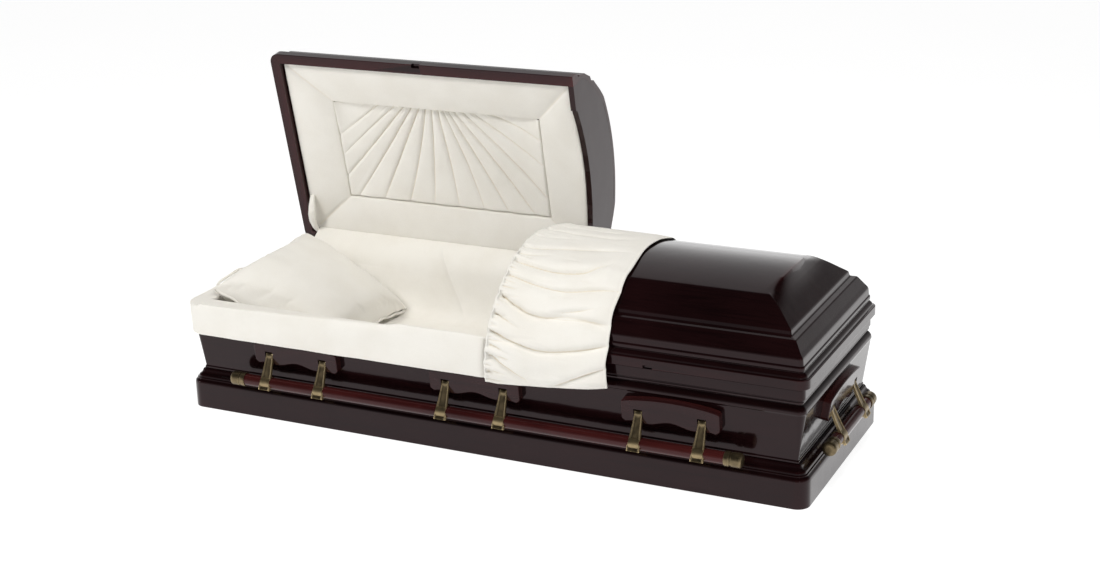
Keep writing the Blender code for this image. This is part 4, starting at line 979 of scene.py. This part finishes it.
def surround_side(corner_a, corner_b, inner_a, inner_b, arch, seed, steps=90):
    """One padded board between two outer and two inner corners: across it the pad follows a rolled
    outer edge, a shallow crown and a rolled inner edge that turns down into the recess; it thins at
    the mitres. arch lifts the outer edge by 1 - t squared. Returns (across, along, 3), lid shut."""
    across = rounded([(0.0, 0.036), (0.0, 0.0205), (0.085, 0.0195), (0.55, 0.0390), (0.955, 0.0570),
                      (1.0, 0.0600), (1.0, 0.0900), (1.02, 0.0940)],
                     [0.01, 0.05, 0.10, 0.2, 0.03, 0.02, 0.01, 0.01], 6)
    share = across[:, 0][:, None]
    along = np.linspace(0, 1, steps)[None]
    outer_x = corner_a[0] + (corner_b[0] - corner_a[0]) * along
    outer_y = corner_a[1] + (corner_b[1] - corner_a[1]) * along
    inner_x = inner_a[0] + (inner_b[0] - inner_a[0]) * along
    inner_y = inner_a[1] + (inner_b[1] - inner_a[1]) * along
    x = outer_x + (inner_x - outer_x) * share
    y = outer_y + (inner_y - outer_y) * share
    to_mitre = np.minimum(along, 1 - along)
    puff = 0.0060 * np.clip(4 * share * (1 - share), 0, 1) ** 0.7 * np.clip(8 * to_mitre, 0, 1) ** 0.6
    seam = 0.0035 * np.exp(-(to_mitre / 0.012) ** 2) * np.clip(1.2 - share, 0, 1)
    lift = arch * (1 - (2 * along - 1) ** 2) * (1 - np.clip(share, 0, 1))
    ripple = 0.0006 * waves(along + 0 * share, (3, 7, 11, 17, 23), seed) * np.clip(1 - share, 0, 1)
    z = LID_BOTTOM + across[:, 1][:, None] - puff + seam + lift + ripple
    return np.stack([x + 0 * z, y + 0 * z, z], -1)


outer = [(SURROUND_X[0], SURROUND_Y[0]), (SURROUND_X[1], SURROUND_Y[0]), (SURROUND_X[1], SURROUND_Y[1]),
         (SURROUND_X[0], SURROUND_Y[1])]
inner = [(RECESS_X[0], RECESS_Y[0]), (RECESS_X[1], RECESS_Y[0]), (RECESS_X[1], RECESS_Y[1]),
         (RECESS_X[0], RECESS_Y[1])]
boards = []
for index, arch in enumerate((0.0, 0.030, 0.0, 0.0)):
    after = (index + 1) % 4
    boards.append((opened(surround_side(outer[index], outer[after], inner[index], inner[after], arch, index)),
                   False, False))
frame_mesh = built("lid_surround", boards, merge=0.0004)
surround = placed("lid_surround", frame_mesh, CREPE, "head_lid_assembly", ["head_lid_surround"],
                  even=False)
backing = surround.modifiers.new("wadding", "SOLIDIFY")
backing.thickness = 0.004
backing.offset = -1.0


# Sunburst: one panel of crepe gathered along its upper edge and pulled out to the other three, so
# that its pleats spread like rays. Each pleat is pressed down along a line and puffs up between.
PANEL_DEPTH = 0.0885
PLEAT_HEADS = (-0.82, -0.70, -0.635, -0.603, -0.572, -0.545, -0.522, -0.500, -0.479, -0.461, -0.443, -0.422,
               -0.390, -0.352, -0.285, -0.14)
PLEAT_FEET = (0.0, 0.128, 0.205, 0.288, 0.399, 0.504, 0.608, 0.707, 0.804, 0.903, 0.997, 1.098, 1.222, 1.345,
              1.440, 1.5195)
PLEAT_DEEP = (0.0, 0.45, 0.5, 0.85, 0.95, 1.0, 0.9, 0.8, 0.85, 0.8, 0.95, 1.0, 1.0, 0.8, 0.7, 0.0)


def sunburst(rows=100, per_pleat=34):
    """Lines run from the gathered edge to places measured round the left, lower and right edges. Height
    between two pleat lines is 1 - exp(-distance / width), so each line is a sharp valley between round
    puffs; short extra valleys fill the gather. Towards the three pulled edges the panel comes forward
    by the cube of its share, and its very edge tucks back. Returns (rows, columns, 3), lid shut."""
    pleats = len(PLEAT_HEADS) - 1
    count = np.linspace(0, pleats, pleats * per_pleat + 1)[None]
    share = np.linspace(0, 1, rows)[:, None]
    gap = 0.0006
    low_x, high_x = RECESS_X[0] + gap, RECESS_X[1] - gap
    near_y, far_y = RECESS_Y[0] + gap, RECESS_Y[1] - gap
    tall = far_y - near_y
    wide = high_x - low_x
    numbers = np.arange(pleats + 1)
    feet = np.array(PLEAT_FEET) / PLEAT_FEET[-1] * (2 * tall + wide)
    run = np.interp(count, numbers, feet)
    head_x = np.interp(count, numbers, PLEAT_HEADS)
    foot_x = np.clip(low_x + run - tall, low_x, high_x)
    foot_y = np.clip(np.minimum(near_y + run, near_y + 2 * tall + wide - run), near_y, far_y)
    bend = 0.0035 * np.sin(np.pi * share) * np.interp(count, numbers, np.sin(2.3 * numbers))
    x = head_x + (foot_x - head_x) * share + bend
    y = near_y + (foot_y - near_y) * share
    nearest = np.round(count)
    head_width = np.gradient(head_x, axis=1) * per_pleat
    foot_width = np.gradient(run, axis=1) * per_pleat
    across = head_width * (1 - share) + foot_width * share
    across = np.abs(across) * np.clip(1.15 - 0.5 * np.abs(share - 0.5), 0, 1)
    away = np.abs(count - nearest) * across
    deep = np.interp(nearest, numbers, PLEAT_DEEP)
    valley = 1.15 * deep * np.exp(-away / (0.0045 + 0.0035 * share)) * (1 - 0.35 * share ** 2)
    chance = np.random.default_rng(5)
    extra = 0 * valley
    for middle in numbers[:-1] + 0.5 + chance.uniform(-0.16, 0.16, pleats):
        long = chance.uniform(0.12, 0.42)
        strong = chance.uniform(0.25, 0.55)
        narrow = np.exp(-np.abs(count - middle) * across / 0.004)
        extra = extra + strong * np.clip(1 - share / long, 0, 1) * narrow
    puff = 0.0135 * (0.72 + 0.28 * (1 - share)) * np.clip(share / 0.02, 0.3, 1)
    edge = np.clip(np.minimum(1 - share, 0.06) / 0.06, 0, 1) ** 0.5
    lift = puff * (1 - valley - 0.6 * extra) * (0.62 + 0.38 * edge)
    soft = 0.0010 * np.sin(31 * x + 9 * y) * np.sin(23 * y - 7 * x)
    z = LID_BOTTOM + PANEL_DEPTH - 0.0250 * share ** 3 - np.clip(lift, 0.0, None) + soft
    z = z + 0.009 * np.clip((share - 0.975) / 0.025, 0, 1) ** 2
    return np.stack([x + 0 * z, y + 0 * z, z], -1)


fan_mesh = built("lid_sunburst", [(opened(sunburst()), False, False)])
fan = placed("lid_sunburst", fan_mesh, CREPE, "head_lid_assembly", ["head_lid_sunburst"],
             even=False)


# Stay cover: a folded strap of crepe that hides the lid's stay at the head end of the hinge. It is
# tacked to the lid's padding and turns with the lid.
def stay_cover():
    """A flattened tube up the lid's side: its width swells and its line bows as sines of the share, its
    section is a rounded box, and one fold runs aslant. Returns (along, round, 3), lid shut."""
    share = np.linspace(0, 1, 60)[:, None]
    round_it = np.linspace(0, 2 * np.pi, 36, endpoint=False)[None]
    half_w = 0.0070 + 0.0070 * np.sin(np.pi * np.clip(share * 1.05, 0, 1)) ** 0.8
    half_t = 0.0060 - 0.001 * np.cos(9 * share)
    flat_x = np.sign(np.cos(round_it)) * np.abs(np.cos(round_it)) ** 0.6
    flat_z = np.sign(np.sin(round_it)) * np.abs(np.sin(round_it)) ** 0.6
    fold = 0.0022 * np.exp(-np.abs(flat_x - 0.25 + 0.5 * share) / 0.12) * (flat_z < 0)
    out = 0.014 - 0.024 * np.sin(np.pi * np.clip(share, 0, 1)) ** 0.7
    x = -1.004 + half_w * flat_x + 0.003 * np.sin(6 * share + 0.5)
    y = 0.186 + 0.146 * share + 0 * round_it
    z = LID_BOTTOM + out + half_t * flat_z - fold + 0.0006 * np.sin(30 * share + 2 * flat_x)
    return np.stack([x, y, z], -1)


cover = opened(stay_cover())
strap_mesh = built("stay_strap", [(cover, False, True)], [cover[0], cover[-1][::-1]])
strap = placed("stay_strap", strap_mesh, CREPE, "head_lid_assembly", ["lid_stay_cover"],
               even=False, sharp=60)
tuple(opened((-1.0, 0.25, LID_BOTTOM + 0.014)))
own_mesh(strap)


# Hinge cover: a flap of crepe tacked under the lid's padding and behind the case lining. It hangs
# across the hinge and hides it and the lid's rim; on the casket it folds away between them when the lid
# is shut, but here it is drawn only as it hangs with the lid open.
def hinge_flap():
    """A (y, z) line from the lid's padding over the rim and the ledge down to the bed, carried along the
    casket, with slow sags and two slanting folds. Returns (down, along, 3), lid open."""
    head, foot = -0.9985, 0.0600
    line = rounded([(0.3800, 0.4180), (0.3690, 0.4150), (0.3580, 0.4090), (0.3300, 0.3905), (0.3060, 0.3695),
                    (0.2890, 0.3430), (0.2750, 0.3000), (0.2600, 0.2500), (0.2400, 0.2120), (0.2150, 0.1955),
                    (0.1900, 0.1893)], [0.01, 0.01, 0.012, 0.02, 0.02, 0.02, 0.03, 0.03, 0.02, 0.02, 0.01], 6)
    run = np.concatenate([[0], np.cumsum(np.linalg.norm(np.diff(line, axis=0), axis=1))])
    down = np.linspace(0, 1, 110)[:, None]
    y = np.interp(down * run[-1], run, line[:, 0])
    z = np.interp(down * run[-1], run, line[:, 1])
    along = np.linspace(0, 1, 300)[None]
    x = head + along * (foot - head)
    z = z + bed_rise(x) * np.clip((0.33 - z) / 0.12, 0, 1)
    loose = np.clip(down / 0.25, 0, 1) * np.clip((1 - down) / 0.1, 0, 1)
    sag = 0.0018 * waves(along + 0.05 * down, (2, 3, 5, 8, 13), 31)
    slant = along - 0.52 - 0.17 * (down - 0.3)
    fold = 0.0135 * np.exp(-np.abs(slant) / 0.014) * np.clip(1.1 - down, 0, 1)
    second = 0.0100 * np.exp(-np.abs(along - 0.80 - 0.25 * (down - 0.3)) / 0.010)
    move = loose * (sag + fold + second)
    return np.stack([x + 0 * z, y - np.abs(move) * 0.9, z + move * 0.3], -1)


flap_grid = hinge_flap()
flap = placed("hinge_flap", built("hinge_flap", [(flap_grid, False, False)]), CREPE, None, [],
              even=False)
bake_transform(flap)


# Foot lid lining: a plain pad of shirred crepe over wadding, pinned inside the foot lid and seen
# only when that lid is lifted.
def lining_pad(low, high, shirr=44):
    """A crowned pad: thickness falls to the edges as the eighth-power crown, with gathered ridges."""
    u = np.linspace(-1, 1, 200)[:, None]
    v = np.linspace(-1, 1, 60)[None]
    full = np.clip((1 - np.abs(u) ** 8) * (1 - np.abs(v) ** 8), 0, 1) ** 0.5
    x = (low[0] + high[0]) / 2 + u * (high[0] - low[0]) / 2
    y = (low[1] + high[1]) / 2 + v * (high[1] - low[1]) / 2
    ridges = 0.0022 * np.sin(shirr * np.pi * u + 1.2 * np.sin(3 * v)) * full
    bottom = high[2] - 0.003 - (high[2] - low[2] - 0.004) * full + ridges
    top = high[2] + 0 * full
    under = np.stack([x + 0 * full, y + 0 * full, bottom], -1)
    over = np.stack([x + 0 * full, y + 0 * full, top], -1)
    return closed_pad(under, over)


pad_mesh = built("foot_lid_pad", lining_pad((0.1115, -0.3225, 0.3755), (1.0205, 0.3225, 0.3895)))
pad = placed("foot_lid_pad", pad_mesh, CREPE, "foot_lid_assembly", ["foot_lid_lining"],
             even=False, sharp=60)


# Ledge cloth: a padded crepe valance laid over the front ledge, turned out over the rim and hanging
# down the front and round the head end. Its turned edge stands up in a soft roll.
def ledge_band():
    """A thick closed (inset, z) line carried along the front, round the head corner and along the head
    end. The crest and the hem wander by slow sines, and the crest lies flat at the head end, where the
    shut lid comes over it. Returns (section, path, 3)."""
    soft_corner = 0.055
    pulled_in = 0.016
    foot = 0.062
    back_end = 0.300
    line = rounded([
        (0.0655, 0.3520), (0.0615, 0.3619), (0.0145, 0.3619), (0.0125, 0.3450), (-0.0060, 0.3050),
        (-0.0062, 0.2575),
        (-0.0090, 0.2560), (-0.0118, 0.2575), (-0.0128, 0.3000), (-0.0130, 0.3700), (-0.0095, 0.3870),
        (-0.0020, 0.3925), (0.0040, 0.3870), (0.0054, 0.3655), (0.0085, 0.3646), (0.0620, 0.3645),
        (0.0690, 0.3600), (0.0695, 0.3520),
    ], [0.001, 0.004, 0.004, 0.02, 0.02, 0.001, 0.002, 0.002, 0.03, 0.02, 0.008, 0.006, 0.006, 0.004, 0.003,
        0.004, 0.004, 0.001],
        5, True)
    inset = line[:, 0][:, None]
    z = line[:, 1][:, None]
    radius = np.maximum(soft_corner - inset, 0.004)
    drawn = HALF_LENGTH - pulled_in * np.clip((0.045 - inset) / 0.045, 0, 1)
    straight = np.linspace(0, 1, 170)[None] ** 1.25
    x_run = foot + straight * (-(drawn - inset - radius) - foot)
    y_run = -(HALF_WIDTH - inset) + 0 * straight
    turn = np.linspace(0, np.pi / 2, 26)[None, 1:]
    x_turn = -(drawn - inset - radius) - radius * np.sin(turn)
    y_turn = -(HALF_WIDTH - inset - radius) - radius * np.cos(turn)
    back = np.linspace(0, 1, 100)[None, 1:]
    y_back = -(HALF_WIDTH - inset - radius) + back * (back_end + HALF_WIDTH - inset - radius)
    x_back = -(drawn - inset) + 0 * back
    x = np.concatenate([x_run, x_turn, x_back], 1)
    y = np.concatenate([y_run, y_turn, y_back], 1)
    travel = np.concatenate([straight * 1.09, 1.09 + 0.06 * turn / turn.max(), 1.15 + back * 0.64], 1) / 1.79
    outside = np.clip((0.000 - inset) / 0.008, 0, 1)
    crest = np.clip((z - 0.372) / 0.02, 0, 1)
    hem = np.clip((0.300 - z) / 0.04, 0, 1)
    wander = 0.0028 * waves(travel, (2, 3, 5, 8, 13), 3)
    bunched = np.interp(x, [-1.03, -0.80, -0.54, -0.30, -0.21, -0.105, 0.055],
                        [-0.0255, -0.0165, -0.0095, -0.0010, 0.0165, 0.0120, 0.0050])
    under_lid = np.interp(x, [-1.001, -0.970], [0.3646, 0.400])
    hem_line = 0.0085 + 0.0020 * waves(travel, (1, 2, 4, 6, 9), 8)
    z = z + crest * (0.5 * wander + bunched) + hem * hem_line
    swell = outside * (0.0016 * waves(travel + 0.02 * z, (3, 6, 10, 17, 29), 4)
                       + 0.0010 * np.sin(60 * z + 20 * travel))
    z = np.minimum(z, under_lid)
    end = np.clip((x - 0.022) / 0.026, 0, 1) * outside
    z = z - 0.010 * end ** 2 * crest
    at_head_end = x <= -(HALF_LENGTH - 0.04)
    y = y + 0.0125 * (1 - np.sqrt(1 - end ** 2)) - np.where(at_head_end, 0, swell)
    x = x - np.where(at_head_end, swell, 0)
    return np.stack([x, y, z + 0 * x], -1)


band = ledge_band()
band_mesh = built("ledge_valance", [(band, True, False)], [band[:, 0], band[:, -1][::-1]])
valance = placed("ledge_valance", band_mesh, CREPE, "case", ["ledge_cloth"], even=False,
                 sharp=70)


# Foot lid drape: a wide strip of crepe gathered at its head edge, thrown over the foot lid and
# hanging down the front. It puffs up between sharp folds that start at the gather, and its edges are
# turned in and hemmed.
def girth():
    """(y, z) line on which the cloth lies, from the front hem over the rim, slopes and crown to the back
    hem, evenly spaced and rounded so that it spans the hollows."""
    rows = [(-0.3785, 0.258), (-0.3790, 0.320), (-0.3790, 0.372), (-0.3665, 0.3985), (-0.3500, 0.430),
            (-0.3370, 0.4570), (-0.3100, 0.4985), (-0.2880, 0.5190), (-0.2610, 0.5405), (-0.2330, 0.5640),
            (-0.2000, 0.5840), (-0.1790, 0.5895)]
    share = np.linspace(-1, 1, 11)[1:-1]
    top = np.stack([share * 0.179, 0.5895 + CROWN_RISE * (1 - share ** 2)], -1)
    back = np.array(rows[2:])[::-1] * (-1, 1)
    back = back[back[:, 0] < 0.305]
    line = rounded(np.vstack([rows, top, back]), 0.05, 6)
    run = np.concatenate([[0], np.cumsum(np.linalg.norm(np.diff(line, axis=0), axis=1))])
    even = np.linspace(0, run[-1], 330)
    return np.stack([np.interp(even, run, line[:, 0]), np.interp(even, run, line[:, 1])], -1), run[-1]


DRAPE_FOLDS = [
    ([(0.0, 0.275), (0.1, 0.258), (0.34, 0.218), (0.68, 0.232), (1.0, 0.222)], 1.15),
    ([(0.0, 0.165), (0.15, 0.142), (0.45, 0.117), (0.78, 0.139), (1.0, 0.165)], 1.05),
    ([(0.0, 0.098), (0.09, 0.079), (0.21, 0.048), (0.43, 0.005)], 0.85),
    ([(0.52, 0.002), (0.61, 0.014), (0.73, 0.038), (1.0, 0.092)], 0.75),
    ([(0.0, 0.470), (0.19, 0.481), (0.36, 0.497), (0.64, 0.516), (0.95, 0.524)], 0.90),
    ([(0.0, 0.392), (0.21, 0.382), (0.36, 0.371), (0.55, 0.375), (0.68, 0.386), (0.86, 0.440)], 0.85),
    ([(0.0, 0.342), (0.22, 0.322), (0.41, 0.309), (0.55, 0.308), (0.79, 0.327), (0.98, 0.336)], 0.70),
    ([(0.48, 0.238), (0.57, 0.241), (0.76, 0.257), (0.94, 0.276)], 0.55),
    ([(0.0, 0.640), (0.23, 0.631), (0.32, 0.620), (0.68, 0.619), (0.88, 0.640)], 0.70),
    ([(0.0, 0.562), (0.18, 0.566), (0.45, 0.575)], 0.60),
    ([(0.0, 0.432), (0.14, 0.430), (0.34, 0.440)], 0.60),
    ([(0.0, 0.218), (0.12, 0.200), (0.30, 0.172)], 0.65),
    ([(0.0, 0.128), (0.12, 0.112), (0.26, 0.098)], 0.55),
    ([(0.0, 0.040), (0.12, 0.028), (0.24, 0.012)], 0.50),
    ([(0.0, 0.700), (0.30, 0.704), (0.80, 0.690)], 0.60),
    ([(0.0, 0.750), (0.25, 0.745), (0.60, 0.748)], 0.50),
]


def drape():
    """Height over the lid is an even fullness, highest at the gather, less one valley for each fold:
    depth times exp(-distance / width), sharp at its line and round beyond. Short close ones make the
    gather and shallow ones lie between. The gathered edge is evened and rolled under. Returns (girth,
    width, 3) and the girth's length."""
    line, long = girth()
    way = np.gradient(line, axis=0)
    way /= np.linalg.norm(way, axis=1)[:, None]
    normal = np.stack([-way[:, 1], way[:, 0]], -1)
    s = np.linspace(0, long, len(line))[:, None]
    t = np.linspace(0, 1, 134)[None] ** 1.25
    valley = 0 * s * t
    for points, strong in DRAPE_FOLDS:
        begin, end = points[0][0], points[-1][0]
        points = rounded(points, 0.15, 8)
        middle = np.interp(t, points[:, 0], points[:, 1])
        fade = np.clip((t - begin) / 0.10 + (begin == 0), 0, 1)
        fade = fade * np.clip((end - t) / 0.22 + (end >= 0.98), 0, 1)
        wide = np.where(s > middle, 0.0045 + 0.0030 * t, 0.0110 + 0.0080 * t)
        off = np.sqrt((s - middle) ** 2 + 0.0012 ** 2)
        valley = valley + 0.0215 * strong * fade * np.exp(-off / wide)
    chance = np.random.default_rng(21)
    starts = np.arange(0.010, long - 0.006, 0.0135)
    starts = starts + chance.uniform(-0.003, 0.003, len(starts))
    for start in starts:
        reach = chance.uniform(0.07, 0.26)
        slip = chance.uniform(-0.09, 0.02)
        strong = chance.uniform(0.5, 1.0)
        off = np.sqrt((s - start - slip * t) ** 2 + 0.0008 ** 2)
        short = np.clip(1 - t / reach, 0, 1) ** 0.8 * np.clip(0.35 + t / 0.035, 0, 1)
        valley = valley + 0.0150 * strong * short * np.exp(-off / (0.0034 + 0.008 * t))
    for wrinkle in range(34):
        start = chance.uniform(0.02, long - 0.03)
        begin = chance.uniform(0.02, 0.62)
        reach = chance.uniform(0.18, 0.40)
        slip = chance.uniform(-0.10, 0.06)
        strong = chance.uniform(0.0015, 0.0045)
        fade = np.sin(np.pi * np.clip((t - begin) / reach, 0, 1)) ** 0.8
        off = np.sqrt((s - start - slip * (t - begin)) ** 2 + 0.0010 ** 2)
        valley = valley + strong * fade * np.exp(-off / 0.0055)
    gather = np.exp(-(t / 0.085) ** 1.5)
    low = np.interp(s, [0, 0.40, 0.52, long], [1.0, 1.0, 0.42, 0.38])
    full = 0.0205 + 0.0030 * np.exp(-t / 0.25) + 0.0090 * gather
    calm = np.clip((1 - t) / 0.14, 0, 1) ** 0.8
    foot = np.clip(s / 0.03, 0, 1)
    waver = 0.0012 * np.sin(37 * s + 9 * t) + 0.0009 * np.sin(83 * s - 14 * t + 1)
    lift = np.maximum(full - valley + waver, 0.0015) * (0.30 + 0.70 * calm) * (0.55 + 0.45 * foot) * low
    window = np.hanning(37)[1:-1]
    edge = np.convolve(np.pad(lift[:, 0], 17, "edge"), window / window.sum(), "valid")[:, None]
    lift = edge + (lift - edge) * np.clip(0.12 + t / 0.035, 0, 1)
    to_edge = (1 - t) * 0.39
    seam = 0.0012 * (np.exp(-((to_edge - 0.011) / 0.0016) ** 2) + np.exp(-((s - 0.012) / 0.0016) ** 2))
    lift = np.maximum(lift - seam, 0.0012)
    left = np.interp(s, [0, 0.12, 0.18, 0.24, 0.31, 0.39, 0.50, 0.58, 0.66, long],
                     [0.058, 0.062, 0.063, 0.069, 0.071, 0.074, 0.062, 0.058, 0.068, 0.078])
    left = left + 0.0012 * np.sin(2 * np.pi * s / 0.0272 + 2 * np.sin(31 * s))
    rightmost = np.interp(s, [0, 0.12, 0.28, 0.42, 0.60, long],
                          [0.4545, 0.4515, 0.4460, 0.4480, 0.4330, 0.4330])
    rightmost = rightmost + 0.0010 * np.sin(41 * s + 1)
    x = left + (rightmost - left) * t
    hem_drop = np.interp(t, [0, 0.10, 0.29, 0.43, 0.60, 0.79, 1.0],
                         [0.0067, 0.0024, 0.007, 0.012, 0.016, 0.0256, 0.0372])
    drop = np.clip(1 - s / 0.11, 0, 1) * hem_drop
    y = line[:, :1] + normal[:, :1] * lift
    z = line[:, 1:] + normal[:, 1:] * lift + drop
    body = np.stack([x, y, z], -1)
    curl = np.linspace(0, 1, 9)[None, ::-1] * np.pi * 0.92
    edge_lift = lift[:, :1]
    radius = np.clip(edge_lift * 0.46, 0.004, 0.011)
    under_x = left + radius - radius * np.sin(curl) + 0.020 * (np.clip(curl / np.pi - 0.6, 0, 1))
    under_n = edge_lift - radius + radius * np.cos(curl)
    under_y = line[:, :1] + normal[:, :1] * under_n
    under_z = line[:, 1:] + normal[:, 1:] * under_n + drop[:, :1]
    rolled = np.stack([under_x, under_y, under_z], -1)
    return np.concatenate([rolled[:, :-1], body], 1), long


folds, long = drape()
drape_mesh = built("lid_drape", [(folds, False, False)])
spread = placed("lid_drape", drape_mesh, CREPE, "foot_lid_assembly", ["foot_lid_drape"],
                even=False)
thick = spread.modifiers.new("cloth", "SOLIDIFY")
thick.thickness = 0.0016
thick.offset = 0.0
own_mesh(spread)
